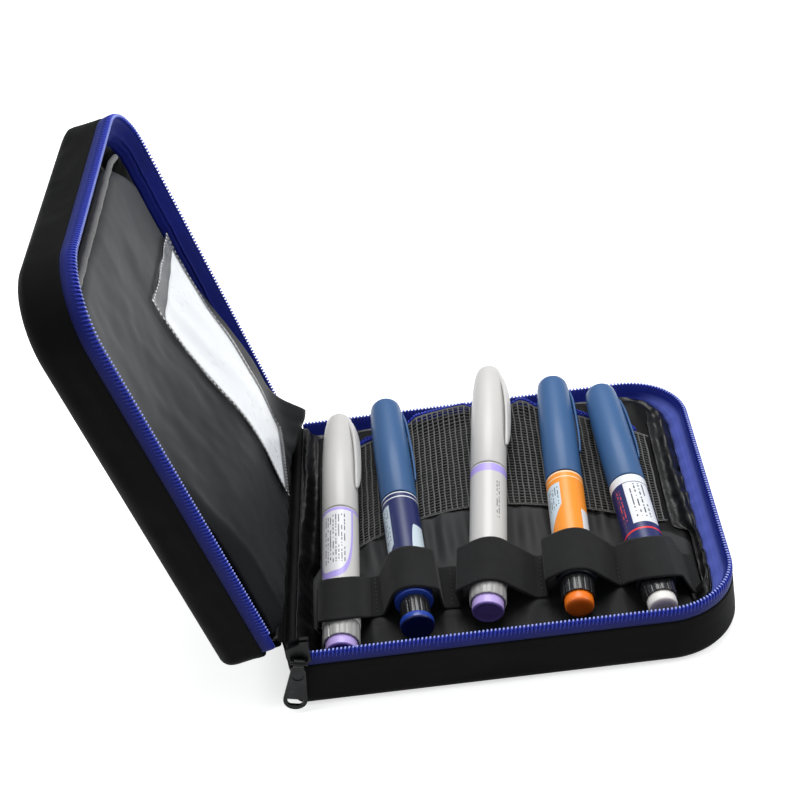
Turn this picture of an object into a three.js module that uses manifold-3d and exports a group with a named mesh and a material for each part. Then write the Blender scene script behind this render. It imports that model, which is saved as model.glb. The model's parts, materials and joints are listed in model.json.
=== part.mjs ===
// Insulin cooling case: a soft insulated case, standing open, with five insulin pens in its elastic loops.
// Sizes are millimetres. +X points away from the hinge, +Y to the back and +Z up.
// The origin is the centre of the flat bottom face.
import * as THREE from 'three';
import { mergeVertices } from 'three/addons/utils/BufferGeometryUtils.js';
import Module from 'manifold-3d';

const wasm = await Module();
wasm.setup();

// Driving dimensions of the case
const caseWidth = 205;
const caseDepth = 185;
const baseHeight = 32;
const lidDepth = 30;
const openAngle = THREE.MathUtils.degToRad(103.9);
const cornerRadius = 33;
const hingeCornerRadius = 4.5;
const baseEdgeRadius = 4;
const lidEdgeRadius = 8;
const fitGap = 0.3;

// Wall layers, from outside in
const shellWall = 1.1;
const foamWall = 2.4;
const liningWall = 0.7;
const foamInset = shellWall + fitGap;
const liningInset = foamInset + foamWall + fitGap;
const innerInset = liningInset + liningWall;

// Heights on the rim, measured down from the plane where lid and base meet
const rowGap = 0.8;
const toothHeight = 1.3;
const beadHeight = 1;
const hemDrop = 5.5;
const wallTopDrop = 8;
const beadTopDrop = rowGap + toothHeight;
const tapeTopDrop = beadTopDrop + beadHeight + fitGap;

// Steps of the round corners
const cornerSteps = 6;
const filletShare = 1 - Math.SQRT1_2;
const hingeCornerSteps = 2;

// Sides of the small round bars, and steps of the small curves
const barSides = 12;
const curveSteps = 8;

// Driving dimensions of the pens, and what differs from kind to kind. A wide button has a skirt round the knob.
const penRadius = 9;
const penSides = 14;
const bluePenForm = { length: 156, capStart: 82.5, clipStart: 102.5, knobRadius: 7.9, buttonRadius: 6.7 };
const penForms = {
  grey: { length: 161, capStart: 88, clipStart: 109, knobRadius: 8.7, buttonRadius: 7.4 },
  blue: { ...bluePenForm, knobRadius: 7, buttonRadius: 7.9, skirted: true },
  orange: bluePenForm,
  navy: bluePenForm,
};

// Where the dose buttons' faces lie: the furthest from the front edge, and the highest above the lining.
// rearRoom is the band along the rear wall where a long pen passes over the rim.
const penBay = { front: 24.1, lift: 18.2, rearRoom: 7 };

// One pen a row: where its dose button's face lies, as shares of the case's width and the bay's front and lift,
// then its tilt and its swing to the right in degrees, the turn of its clip round the pen, and its kind
const penShares = [
  { across: -0.38195, front: 0.3444, lift: 0.87363, tilt: 6.8, swing: 0.6, clipTurn: 25, kind: 'grey' },
  { across: -0.20976, front: 0.75104, lift: 0.96154, tilt: 7.1, swing: -3.4, clipTurn: 0, kind: 'blue' },
  { across: -0.05171, front: 1, lift: 0.89011, tilt: 10, swing: 5.3, clipTurn: 20, kind: 'grey' },
  { across: 0.15122, front: 0.75104, lift: 0.94505, tilt: 7.6, swing: 1.8, clipTurn: 0, kind: 'orange' },
  { across: 0.33122, front: 0.41079, lift: 1, tilt: 5.9, swing: -3.1, clipTurn: -5, kind: 'navy' },
];

// A pen that is longer than the case's inside is tilted enough to lie over the rear rim
function tiltOverRim(length, y, z, tilt) {
  const reach = caseDepth / 2 - penBay.rearRoom - y;
  if (length * Math.cos(tilt) < reach) return tilt;
  return Math.max(tilt, Math.atan((baseHeight + fitGap + penRadius / Math.cos(tilt) - z) / reach));
}

const penPlaces = penShares.map((shares) => {
  const [x, y] = [shares.across * caseWidth, shares.front * penBay.front - caseDepth / 2];
  const z = innerInset + shares.lift * penBay.lift;
  const tilt = tiltOverRim(penForms[shares.kind].length, y, z, THREE.MathUtils.degToRad(shares.tilt));
  const swing = THREE.MathUtils.degToRad(shares.swing);
  const clipTurn = THREE.MathUtils.degToRad(shares.clipTurn);
  const level = new THREE.Vector3(Math.sin(swing), Math.cos(swing), 0);
  const axis = level.multiplyScalar(Math.cos(tilt)).setZ(Math.sin(tilt));
  return { x, y, z, tilt, swing, clipTurn, axis, kind: shares.kind };
});

const finishes = {
  shell: { color: 0x17181a, roughness: 0.82, metalness: 0 },
  nylon: { color: 0x34373b, roughness: 0.6, metalness: 0 },
  foam: { color: 0xc9c7bf, roughness: 0.95, metalness: 0 },
  lining: { color: 0x101113, roughness: 0.7, metalness: 0 },
  tape: { color: 0x1b2f9a, roughness: 0.75, metalness: 0 },
  coil: { color: 0x2f46c4, roughness: 0.4, metalness: 0 },
  gel: { color: 0x9fc6dd, roughness: 0.35, metalness: 0 },
  net: { color: 0x1a1b1c, roughness: 0.8, metalness: 0 },
  elastic: { color: 0x141414, roughness: 0.9, metalness: 0 },
  film: { color: 0xd9dde0, roughness: 0.12, metalness: 0 },
  card: { color: 0xf4f5f6, roughness: 0.6, metalness: 0 },
  blackMetal: { color: 0x1c1d1e, roughness: 0.4, metalness: 0.7 },
  greyPlastic: { color: 0xc7c5c2, roughness: 0.35, metalness: 0 },
  bluePlastic: { color: 0x1f4673, roughness: 0.3, metalness: 0 },
  navyPlastic: { color: 0x17294f, roughness: 0.3, metalness: 0 },
  blackPlastic: { color: 0x1b1b1d, roughness: 0.4, metalness: 0 },
  knobGrey: { color: 0x9b9b9b, roughness: 0.4, metalness: 0 },
  lilac: { color: 0xb5a2e6, roughness: 0.4, metalness: 0 },
  orange: { color: 0xf07f19, roughness: 0.45, metalness: 0 },
  white: { color: 0xf1f1ef, roughness: 0.4, metalness: 0 },
  clear: { color: 0xd6e3e8, roughness: 0.15, metalness: 0 },
  label: { color: 0xefeeea, roughness: 0.5, metalness: 0 },
};

const bluePen = { cap: 'bluePlastic', barrel: 'bluePlastic', knob: 'blackPlastic' };
const penFinishes = {
  grey: { cap: 'greyPlastic', barrel: 'greyPlastic', label: 'label', knob: 'knobGrey', button: 'lilac' },
  blue: { ...bluePen, label: 'navyPlastic', button: 'bluePlastic' },
  orange: { ...bluePen, label: 'orange', button: 'orange' },
  navy: { ...bluePen, label: 'navyPlastic', button: 'white' },
};

// Basic forms

const mix = (a, b, share) => a + (b - a) * share;
const smooth = (share) => THREE.MathUtils.smoothstep(share, 0, 1);
const steps = (count) => Array.from({ length: count + 1 }, (_, i) => i / count);

function closedBody(points, faces) {
  const geometry = new THREE.BufferGeometry();
  geometry.setAttribute('position', new THREE.Float32BufferAttribute(points.flat(), 3));
  const [a, b, c] = [new THREE.Vector3(), new THREE.Vector3(), new THREE.Vector3()];
  const volume = faces.reduce((sum, [i, j, k]) => {
    a.fromArray(points[i]);
    b.fromArray(points[j]);
    c.fromArray(points[k]);
    return sum + a.dot(b.cross(c));
  }, 0);
  geometry.setIndex((volume < 0 ? faces.map(([i, j, k]) => [i, k, j]) : faces).flat());
  geometry.computeVertexNormals();
  return geometry;
}

// Joins rings of as many points each into one body. The ends are closed by the two flat outlines.
function loft(rings, startOutline, endOutline = startOutline) {
  const count = rings[0].length;
  const faces = [];
  for (let r = 0; r + 1 < rings.length; r++) {
    for (let i = 0; i < count; i++) {
      const [a, b] = [r * count + i, r * count + ((i + 1) % count)];
      faces.push([a, b, b + count], [a, b + count, a + count]);
    }
  }
  const cap = (outline, first, reversed) => {
    const contour = outline.map(([x, y]) => new THREE.Vector2(x, y));
    const turn = Math.sign(THREE.ShapeUtils.area(contour));
    for (const [i, j, k] of THREE.ShapeUtils.triangulateShape(contour, [])) {
      const area = Math.sign(THREE.ShapeUtils.area([contour[i], contour[j], contour[k]]));
      const flip = (area !== turn) !== reversed;
      faces.push(flip ? [first + i, first + k, first + j] : [first + i, first + j, first + k]);
    }
  };
  cap(startOutline, 0, true);
  cap(endOutline, (rings.length - 1) * count, false);
  return closedBody(rings.flat(), faces);
}

// A sheet over a grid of shares: place(u, v) gives x, y, top and bottom. A cell for which open is true is a gap.
function sheet(us, vs, place, open = () => false) {
  const [nu, nv] = [us.length, vs.length];
  const spots = us.map((u) => vs.map((v) => place(u, v)));
  const points = [];
  const index = { top: [], bottom: [] };
  for (const side of ['top', 'bottom']) {
    spots.forEach((line, i) => {
      index[side][i] = line.map((spot) => points.push([spot.x, spot.y, spot[side]]) - 1);
    });
  }
  const { top, bottom } = index;
  const faces = [];
  const filled = (i, j) => i >= 0 && j >= 0 && i < nu - 1 && j < nv - 1 && !open(i, j);
  const wall = (i, j, k, l) => faces.push(
    [bottom[i][j], bottom[k][l], top[k][l]],
    [bottom[i][j], top[k][l], top[i][j]],
  );
  for (let i = 0; i < nu - 1; i++) {
    for (let j = 0; j < nv - 1; j++) {
      if (!filled(i, j)) continue;
      faces.push(
        [top[i][j], top[i + 1][j], top[i + 1][j + 1]],
        [top[i][j], top[i + 1][j + 1], top[i][j + 1]],
        [bottom[i][j], bottom[i + 1][j + 1], bottom[i + 1][j]],
        [bottom[i][j], bottom[i][j + 1], bottom[i + 1][j + 1]],
      );
      if (!filled(i, j - 1)) wall(i, j, i + 1, j);
      if (!filled(i + 1, j)) wall(i + 1, j, i + 1, j + 1);
      if (!filled(i, j + 1)) wall(i + 1, j + 1, i, j + 1);
      if (!filled(i - 1, j)) wall(i, j + 1, i, j);
    }
  }
  return closedBody(points, faces);
}

function solid(geometry) {
  const bare = geometry.clone();
  bare.deleteAttribute('normal');
  bare.deleteAttribute('uv');
  const merged = mergeVertices(bare);
  return new wasm.Manifold(new wasm.Mesh({
    numProp: 3,
    vertProperties: new Float32Array(merged.attributes.position.array),
    triVerts: new Uint32Array(merged.index.array),
  }));
}

function geometryOf(manifold) {
  const mesh = manifold.getMesh();
  const geometry = new THREE.BufferGeometry();
  geometry.setAttribute('position', new THREE.Float32BufferAttribute(mesh.vertProperties, 3));
  geometry.setIndex(Array.from(mesh.triVerts));
  geometry.computeVertexNormals();
  return geometry;
}

// A turned form about the pen's axis, from [radius, distance along the axis] pairs
function turned(profile, sides = penSides) {
  return new THREE.LatheGeometry(profile.map(([radius, along]) => new THREE.Vector2(radius, along)), sides);
}

function piece(name, geometry, finish) {
  const mesh = new THREE.Mesh(geometry, new THREE.MeshStandardMaterial(finishes[finish]));
  mesh.name = name;
  return mesh;
}

// The two halves of the case: each is a tray with its open side up, and the lid is turned over onto the base

// The case's outline, moved inwards by an inset, anticlockwise from the front hinge corner
function caseOutline(inset) {
  const corners = [
    { x: -1, y: -1, radius: hingeCornerRadius, count: hingeCornerSteps, from: Math.PI },
    { x: 1, y: -1, radius: cornerRadius, count: cornerSteps, from: 1.5 * Math.PI },
    { x: 1, y: 1, radius: cornerRadius, count: cornerSteps, from: 0 },
    { x: -1, y: 1, radius: hingeCornerRadius, count: hingeCornerSteps, from: 0.5 * Math.PI },
  ];
  return corners.flatMap(({ x, y, radius, count, from }) => {
    const bend = Math.max(radius - inset, fitGap);
    return steps(count).map((share) => {
      const angle = from + (share * Math.PI) / 2;
      return [
        x * (caseWidth / 2 - inset - bend) + bend * Math.cos(angle),
        y * (caseDepth / 2 - inset - bend) + bend * Math.sin(angle),
      ];
    });
  });
}

function tray({ inset, wall, floor, bottom, top, edge }) {
  const outer = Math.max(edge - inset, fitGap);
  const inner = Math.max(outer - wall, fitGap);
  const [innerInset, innerBottom] = [inset + wall, bottom + floor];
  const levels = [
    [inset + outer, bottom],
    [inset + outer * filletShare, bottom + outer * filletShare],
    [inset, bottom + outer],
    [inset, top],
    [innerInset, top],
    [innerInset, innerBottom + inner],
    [innerInset + inner * filletShare, innerBottom + inner * filletShare],
    [innerInset + inner, innerBottom],
  ];
  const rings = levels.map(([ringInset, z]) => caseOutline(ringInset).map(([x, y]) => [x, y, z]));
  return loft(rings, caseOutline(inset + outer), caseOutline(innerInset + inner));
}

// Stations along the zipped sides, from the hinge end of the front to the hinge end of the back.
// Each has a point on the outline and the way inwards. flare is 0 along the sides and 1 along the free side.
const zipStart = -caseWidth / 2 + hingeCornerRadius + fitGap;

function zipStations(start = zipStart) {
  const [halfWidth, halfDepth] = [caseWidth / 2, caseDepth / 2];
  const corner = (sign) => steps(cornerSteps).map((share) => {
    const turn = sign < 0 ? share : 1 - share;
    const angle = (turn * Math.PI) / 2;
    return {
      x: halfWidth - cornerRadius + cornerRadius * Math.sin(angle),
      y: sign * (halfDepth - cornerRadius + cornerRadius * Math.cos(angle)),
      inX: -Math.sin(angle),
      inY: -sign * Math.cos(angle),
      flare: smooth(turn),
    };
  });
  return [
    { x: start, y: -halfDepth, inX: 0, inY: 1, flare: 0 },
    ...corner(-1),
    ...corner(1),
    { x: start, y: halfDepth, inX: 0, inY: -1, flare: 0 },
  ];
}

const atStation = (station, inset, z) => [station.x + station.inX * inset, station.y + station.inY * inset, z];

// The zip tape turns over the top of the wall and slopes down inside it, furthest along the free side
const tape = {
  thickness: 0.8,
  centreInset: 1.5,
  legDepth: 9,
  flareIn: 4.8,
  flareDown: 4,
};

function zipTape(height) {
  const neckOut = tape.centreInset - tape.thickness / 2;
  const neckIn = tape.centreInset + tape.thickness / 2;
  const hem = height - hemDrop + fitGap;
  const wallTop = height - wallTopDrop + fitGap;
  const leg = innerInset + fitGap;
  const section = (flare) => {
    const legIn = leg + tape.flareIn * flare;
    const legLow = height - tape.legDepth - tape.flareDown * flare;
    return [
      [neckOut, height - tapeTopDrop],
      [neckOut, hem],
      [foamInset, hem],
      [foamInset, wallTop],
      [leg, wallTop],
      [legIn, legLow],
      [legIn + tape.thickness, legLow + tape.thickness * flare],
      [leg + tape.thickness, wallTop + tape.thickness],
      [neckIn, hem - fitGap / 2],
      [neckIn, height - tapeTopDrop],
    ];
  };
  const ring = (station) => section(station.flare).map(([inset, z]) => atStation(station, inset, z));
  return loft(zipStations().map(ring), section(0));
}

// The row of teeth: a bead along the tape's edge with teeth standing on it
const row = {
  beadWidth: 2.2,
  toothPitch: 6.5,
  toothLength: 2.2,
  toothTaperShare: 0.7,
  toothWidth: 1.8,
  root: 0.3,
};

function zipTeeth(height, start) {
  const beadTop = height - beadTopDrop;
  const section = [
    [tape.centreInset - row.beadWidth / 2, beadTop - beadHeight],
    [tape.centreInset + row.beadWidth / 2, beadTop - beadHeight],
    [tape.centreInset + row.beadWidth / 2, beadTop],
    [tape.centreInset - row.beadWidth / 2, beadTop],
  ];
  const stations = zipStations(start);
  const ring = (station) => section.map(([inset, z]) => atStation(station, inset, z));
  const bead = loft(stations.map(ring), section);
  const line = stations.map((station) => new THREE.Vector3(...atStation(station, tape.centreInset, beadTop)));
  const teeth = [];
  let before = row.toothPitch / 2;
  for (let i = 0; i + 1 < line.length; i++) {
    const along = new THREE.Vector3().subVectors(line[i + 1], line[i]);
    const length = along.length();
    along.normalize();
    const across = new THREE.Vector3(-along.y, along.x, 0);
    for (; before < length; before += row.toothPitch) {
      teeth.push(tooth(line[i].clone().addScaledVector(along, before), along, across));
    }
    before -= length;
  }
  return geometryOf(solid(bead).add(teeth.reduce((all, one) => all.add(one))));
}

function tooth(foot, along, across) {
  const corners = (share, lift) => [[-1, -1], [1, -1], [1, 1], [-1, 1]].map(([a, b]) => foot.clone()
    .addScaledVector(along, (a * share * row.toothLength) / 2)
    .addScaledVector(across, (b * share * row.toothWidth) / 2)
    .setZ(foot.z + lift)
    .toArray());
  const base = corners(1, -row.root);
  return solid(loft([base, corners(row.toothTaperShare, toothHeight)], base));
}

function caseHalf(name, height, edge, rowStart) {
  const wallTop = height - wallTopDrop;
  const layers = {
    [`${name}_shell`]: [tray({
      inset: 0, wall: shellWall, floor: shellWall, bottom: 0, top: height - hemDrop, edge,
    }), 'shell'],
    [`${name}_foam`]: [tray({
      inset: foamInset, wall: foamWall, floor: foamWall, bottom: foamInset, top: wallTop, edge,
    }), 'foam'],
    [`${name}_lining`]: [tray({
      inset: liningInset, wall: liningWall, floor: liningWall, bottom: liningInset, top: wallTop, edge,
    }), 'lining'],
    [`${name}_zip_tape`]: [zipTape(height), 'tape'],
    [`${name}_zip_teeth`]: [zipTeeth(height, rowStart), 'coil'],
    [`${name}_hinge_binding`]: [hingeBinding(height), 'lining'],
  };
  return Object.entries(layers).map(([node, [geometry, finish]]) => piece(node, geometry, finish));
}

// The fabric-covered roll that closes the wall along the hinge
const binding = { rimDrop: 0.6, roundShare: 0.35 };

function hingeBinding(height) {
  const [out, inner] = [fitGap, innerInset];
  const [low, high] = [height - wallTopDrop + fitGap, height - binding.rimDrop];
  const bend = (inner - out) * binding.roundShare;
  const shellInner = shellWall + fitGap;
  const hem = height - hemDrop + fitGap;
  const section = [
    [shellInner, low], [inner, low], [inner, high - bend], [inner - bend, high],
    [out + bend, high], [out, high - bend], [out, hem], [shellInner, hem],
  ];
  const end = caseDepth / 2 - innerInset - tape.thickness - 2 * fitGap;
  const rings = [-end, end].map((y) => section.map(([inset, z]) => [inset - caseWidth / 2, y, z]));
  return loft(rings, section);
}

// What lies in the base: the pad that carries the pens, its gel pack, the net pocket and the elastic strap

const padding = {
  netThickness: 0.8,
  panelThickness: 1.6,
  facetRoom: 0.8,
  penSeat: 0.5,
  sideDrop: 1,
  rearFall: 6,
  frontInset: 7.5,
  hingeInset: 6.2,
  freeInset: 13,
  cornerRadius: 22,
};
const panelDrop = padding.netThickness + padding.facetRoom;
const gelDrop = panelDrop + padding.panelThickness + 2 * padding.facetRoom;
const floorTop = innerInset;

// The lowest line of each pen at a place along Y
function penUnderside(pen, y) {
  const along = (y - pen.y) / pen.axis.y;
  return {
    x: pen.x + pen.axis.x * along,
    z: pen.z + pen.axis.z * along - (penRadius + padding.penSeat) / Math.cos(pen.tilt),
  };
}

// The crowned surface that all the pens lie on
function restingHeight(x, y) {
  const lines = penPlaces.map((pen) => penUnderside(pen, y));
  const [first, last] = [lines[0], lines[lines.length - 1]];
  lines.unshift({ x: -caseWidth / 2, z: first.z - padding.sideDrop });
  lines.push({ x: caseWidth / 2, z: last.z - padding.sideDrop });
  const right = Math.max(1, lines.findIndex((line) => line.x >= x));
  const [a, b] = [lines[right - 1], lines[right]];
  const height = mix(a.z, b.z, (x - a.x) / (b.x - a.x));
  const rear = caseDepth / 2 - padding.frontInset;
  const fallStart = rear - padding.freeInset;
  return height - padding.rearFall * Math.max(0, (y - fallStart) / (rear - fallStart)) ** 2;
}

// The pads' plan: straight at the hinge, round at the free corners
function padPlan(u, v, inset = 0) {
  const high = caseDepth / 2 - padding.frontInset - inset;
  const low = -high;
  const y = mix(low, high, v);
  const near = Math.min(y - low, high - y);
  const bend = padding.cornerRadius;
  const cut = near < bend ? bend - Math.sqrt(bend ** 2 - (bend - near) ** 2) : 0;
  const left = -caseWidth / 2 + padding.hingeInset + inset;
  const right = caseWidth / 2 - padding.freeInset - inset - cut;
  return { x: mix(left, right, u), y };
}

// Shares across the pads' width and depth: closer rows near the ends, where the corners are round
const padWidthShares = steps(8);
const padDepthShares = [0, 0.02, 0.06, 0.13, 0.25, 0.4, 0.55, 0.7, 0.82, 0.92, 0.97, 1];

function penPanel() {
  return sheet(padWidthShares, padDepthShares, (u, v) => {
    const { x, y } = padPlan(u, v);
    const top = restingHeight(x, y) - panelDrop;
    return { x, y, top, bottom: top - padding.panelThickness };
  });
}

function baseGelPack() {
  return sheet(padWidthShares, padDepthShares, (u, v) => {
    const { x, y } = padPlan(u, v, padding.panelThickness);
    return { x, y, top: restingHeight(x, y) - gelDrop, bottom: floorTop + fitGap };
  });
}

// The elastic strap: an arch over each pen, sewn down flat between them
const strap = {
  thickness: 1.3,
  frontInset: 38.5,
  width: 25.5,
  slack: 0.5,
  archSteps: 8,
  hingeTail: 1.6,
  freeTail: 4.5,
};
const strapFront = strap.frontInset - caseDepth / 2;
const strapBack = strapFront + strap.width;
const archRadius = penRadius + strap.slack + strap.thickness / 2;
// One arch a row, each pair its left side before its right: how far its top leans forward, and how much of that its
// feet do, as shares of the strap's width; then how far its feet stand from the pen's axis, and how far out and how
// high its shoulders are, as shares of its radius
const archShares = [
  { lean: 0.63, feetLean: [0.1, 0], feet: [1.12, 1.25], shoulders: [[1.04, 0], [1.06, -0.1]] },
  { lean: 0.2, feetLean: [0, 0], feet: [1.45, 1.28], shoulders: [[1.19, -0.32], [1.2, 0.55]] },
  { lean: 0.2, feetLean: [0, 0], feet: [1.32, 2.1], shoulders: [[1.42, 0.42], [1.42, -0.12]] },
  { lean: 0.14, feetLean: [0, 0], feet: [1.32, 1.9], shoulders: [[1.38, 0.4], [1.36, -0.16]] },
  { lean: 0.74, feetLean: [0, 0.42], feet: [1.3, 1.7], shoulders: [[1.13, -0.3], [1.26, -0.25]] },
];

// The net pocket: its front edge bows back in the middle, and the pocket's zip follows its arched back edge
const net = {
  hingeInset: 14.5,
  freeInset: 22.5,
  peakShare: 0.4762,
  frontGap: 20.5,
  frontBow: 20,
  rearInset: 15.5,
  backDrop: 33,
  strand: 2.4,
  cellsAcross: 11,
  cellsDeep: 6,
};
const pocketZip = { startShare: 0.1429, endShare: 0.9583, width: 4.6, thickness: 1.2, stepsAcross: 14 };

const netLeft = net.hingeInset - caseWidth / 2;
const netRight = caseWidth / 2 - net.freeInset;
const netPeak = mix(netLeft, netRight, net.peakShare);
const netBow = (x) => ((x - netPeak) / (netRight - netPeak)) ** 2;
const netFront = (x) => strapBack + net.frontGap + net.frontBow * (1 - netBow(x));
const netBack = (x) => caseDepth / 2 - net.rearInset - net.backDrop * netBow(x);

// Each strand and each gap has its own share of the pocket's length
function strandShares(cells, length) {
  const strand = net.strand / length;
  const pitch = (1 - strand) / cells;
  return Array.from({ length: cells + 1 }, (_, i) => [i * pitch, i * pitch + strand]).flat();
}

function meshPocket() {
  const us = strandShares(net.cellsAcross, netRight - netLeft);
  const vs = strandShares(net.cellsDeep, netBack(netPeak) - netFront(netPeak));
  const place = (u, v) => {
    const x = mix(netLeft, netRight, u);
    const y = mix(netFront(x), netBack(x), v);
    const top = restingHeight(x, y);
    return { x, y, top, bottom: top - padding.netThickness };
  };
  return sheet(us, vs, place, (i, j) => i % 2 === 1 && j % 2 === 1);
}

function pocketZipChain() {
  return sheet(steps(pocketZip.stepsAcross), [0, 1], (u, v) => {
    const x = mix(netLeft, netRight, mix(pocketZip.startShare, pocketZip.endShare, u));
    const y = netBack(x) + fitGap + pocketZip.width * v;
    const top = restingHeight(x, y);
    return { x, y, top, bottom: top - pocketZip.thickness + fitGap };
  });
}

// The strap's middle line from the hinge side to the free side, for its edge that is sewn down at y
function strapLine(y) {
  const lift = strap.thickness / 2 + fitGap;
  const onPanel = (x, at) => [x, at, restingHeight(x, at) - panelDrop + lift];
  const points = [];
  penPlaces.forEach((pen, i) => {
    const { lean, feetLean, feet, shoulders } = archShares[i];
    const foot = (side, tail = 0) => {
      const at = y - feetLean[side] * strap.width;
      const away = feet[side] * archRadius + tail;
      return onPanel(penUnderside(pen, at).x + (side ? away : -away), at);
    };
    const around = (out, up) => {
      const at = y - ((lean * (1 + up)) / 2) * strap.width;
      const under = penUnderside(pen, at);
      const middle = under.z + (penRadius + padding.penSeat) / Math.cos(pen.tilt);
      return [under.x + out * archRadius, at, middle + up * archRadius];
    };
    const [left, right] = shoulders.map(([out, up]) => Math.acos(1 / Math.hypot(out, up)) + Math.atan2(up, out));
    if (i === 0) points.push(foot(0, strap.hingeTail));
    points.push(foot(0), around(-shoulders[0][0], shoulders[0][1]));
    for (const share of steps(strap.archSteps)) {
      const angle = mix(Math.PI - left, right, share);
      points.push(around(Math.cos(angle), Math.sin(angle)));
    }
    points.push(around(...shoulders[1]), foot(1));
    if (i === penPlaces.length - 1) points.push(foot(1, strap.freeTail));
  });
  return points;
}

// A line with a thickness, as a closed outline
function thickened(points, thickness) {
  const line = points.map(([x, y]) => new THREE.Vector2(x, y));
  const side = (sign) => line.map((point, i) => {
    const back = line[Math.max(i, 1)].clone().sub(line[Math.max(i, 1) - 1]).normalize();
    const next = Math.min(i + 1, line.length - 1);
    const ahead = line[next].clone().sub(line[next - 1]).normalize();
    const normal = new THREE.Vector2(-(back.y + ahead.y), back.x + ahead.x).normalize();
    const mitre = thickness / 2 / Math.max(0.5, normal.dot(new THREE.Vector2(-ahead.y, ahead.x)));
    return point.clone().addScaledVector(normal, sign * mitre).toArray();
  });
  return [...side(-1), ...side(1).reverse()];
}

function penStrap() {
  const lines = [strapFront, strapBack].map(strapLine);
  const outlines = lines.map((line) => thickened(line.map(([x, , z]) => [x, z]), strap.thickness));
  const rings = lines.map((line, i) => {
    const places = [...line, ...[...line].reverse()];
    return outlines[i].map(([x, z], j) => [x, places[j][1], z]);
  });
  return loft(rings, outlines[0], outlines[1]);
}

// The hinge: a strip of fabric outside both hinge walls, bent at the open angle
const spine = { thickness: 1.1, reach: 11, sideMargin: 12 };

function hingeSpine() {
  const [cos, sin] = [Math.cos(openAngle), Math.sin(openAngle)];
  const bend = (gap) => [-gap, (gap * (cos - 1)) / sin];
  const onLid = (gap, out) => [-gap * cos - out * sin, -gap * sin + out * cos];
  const [near, far] = [fitGap, fitGap + spine.thickness];
  const section = [
    [-near, -spine.reach], bend(near), onLid(near, spine.reach),
    onLid(far, spine.reach), bend(far), [-far, -spine.reach],
  ];
  const end = caseDepth / 2 - spine.sideMargin;
  const rings = [-end, end].map((y) => section.map(([x, z]) => [x - caseWidth / 2, y, z + baseHeight]));
  return loft(rings, section);
}

// What lies in the lid, in the lid's own tray: the crowned panel of its gel pocket, the pack and the card window

const lidPad = {
  thickness: 1.5,
  farDrop: 11.5,
  hingeRise: 1,
  crown: 4,
  slopeStart: 45,
  slopeEnd: 135,
  crownSpread: 45,
  crownAt: 42,
  rearDrop: 6,
  rearBand: 48,
};

// Height of the lid's panel above the lid's outer face. The tray is turned over, so its back is at negative y.
function lidPadHeight(x, y) {
  const fromHinge = x + caseWidth / 2;
  const slope = smooth((fromHinge - lidPad.slopeStart) / (lidPad.slopeEnd - lidPad.slopeStart));
  const crown = lidPad.crown * Math.exp(-(((fromHinge - lidPad.crownAt) / lidPad.crownSpread) ** 2));
  const back = Math.max(0, (-y - (caseDepth / 2 - padding.frontInset - lidPad.rearBand)) / lidPad.rearBand);
  const dip = lidPad.rearDrop * smooth(back) * (1 - slope);
  return mix(lidDepth + lidPad.hingeRise, lidDepth - lidPad.farDrop, slope) + crown - dip;
}

function lidPanel() {
  return sheet(padWidthShares, padDepthShares, (u, v) => {
    const { x, y } = padPlan(u, v);
    const top = lidPadHeight(x, y);
    return { x, y, top, bottom: top - lidPad.thickness };
  });
}

function lidGelPack() {
  return sheet(padWidthShares, padDepthShares, (u, v) => {
    const { x, y } = padPlan(u, v, padding.panelThickness);
    const top = lidPadHeight(x, y) - lidPad.thickness - padding.facetRoom;
    return { x, y, top, bottom: floorTop + fitGap };
  });
}

const window = {
  hingeInset: 9,
  width: 125,
  backInset: 17.9,
  height: 59.6,
  margin: 4,
  film: 0.6,
  card: 0.6,
  stepsAcross: 6,
  stepsDeep: 3,
};

function windowSheet(margin, lift, thickness) {
  const left = window.hingeInset - caseWidth / 2;
  const back = window.backInset - caseDepth / 2;
  return sheet(steps(window.stepsAcross), steps(window.stepsDeep), (u, v) => {
    const x = mix(left + margin, left + window.width - margin, u);
    const y = mix(back + margin, back + window.height - margin, v);
    const bottom = lidPadHeight(x, y) + lift;
    return { x, y, top: bottom + thickness, bottom };
  });
}

// The bound edge of the gel pocket's opening, along the far edge of the lid's panel
const pocketEdge = { radius: 1.5, sides: 8, inset: 6, frontInset: 26.5, length: 96, stepsAlong: 5 };

function pocketBinding() {
  const x = caseWidth / 2 - padding.freeInset - pocketEdge.inset;
  const front = caseDepth / 2 - pocketEdge.frontInset;
  const section = steps(pocketEdge.sides).slice(1).map((share) => {
    const angle = share * 2 * Math.PI;
    return [pocketEdge.radius * Math.cos(angle), pocketEdge.radius * Math.sin(angle)];
  });
  const rings = steps(pocketEdge.stepsAlong).map((share) => {
    const y = front - pocketEdge.length * (1 - share);
    const z = lidPadHeight(x, y) + pocketEdge.radius + fitGap;
    return section.map(([across, up]) => [x + across, y, z + up]);
  });
  return loft(rings, section);
}

// The zip slider and its pull tab, in the slider's frame: X along the row, Y inwards, Z up from the rim's plane

const slider = {
  length: 10.5,
  width: 10.4,
  plate: 1.2,
  clearance: 0.35,
  lip: 0.9,
  slot: 1.6,
  postHeight: 1,
  postLength: 3.2,
  noseShare: 0.6,
  shoulder: 1.3,
  parkInset: 6.3,
};
const sliderStart = slider.parkInset - caseWidth / 2;
const bridge = { radius: 0.9, length: 8, foot: 1.4, drop: 3.2, standOff: 2.35 };
const bridgeLean = THREE.MathUtils.degToRad(13.7);
const tab = {
  knuckleRadius: 2,
  thickness: 1.5,
  length: 27,
  topWidth: 6.6,
  bottomWidth: 11,
  endRadius: 5.5,
  holeWidth: 7.4,
  holeHeight: 3.8,
  holeFlat: 3,
  holeFromEnd: 2.3,
  dimpleRadius: 2.7,
  dimpleDepth: 0.4,
  dimpleDrop: 7.2,
};

function block(width, depth, height, x, y, z) {
  return solid(new THREE.BoxGeometry(width, depth, height).translate(x, y, z));
}

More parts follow.
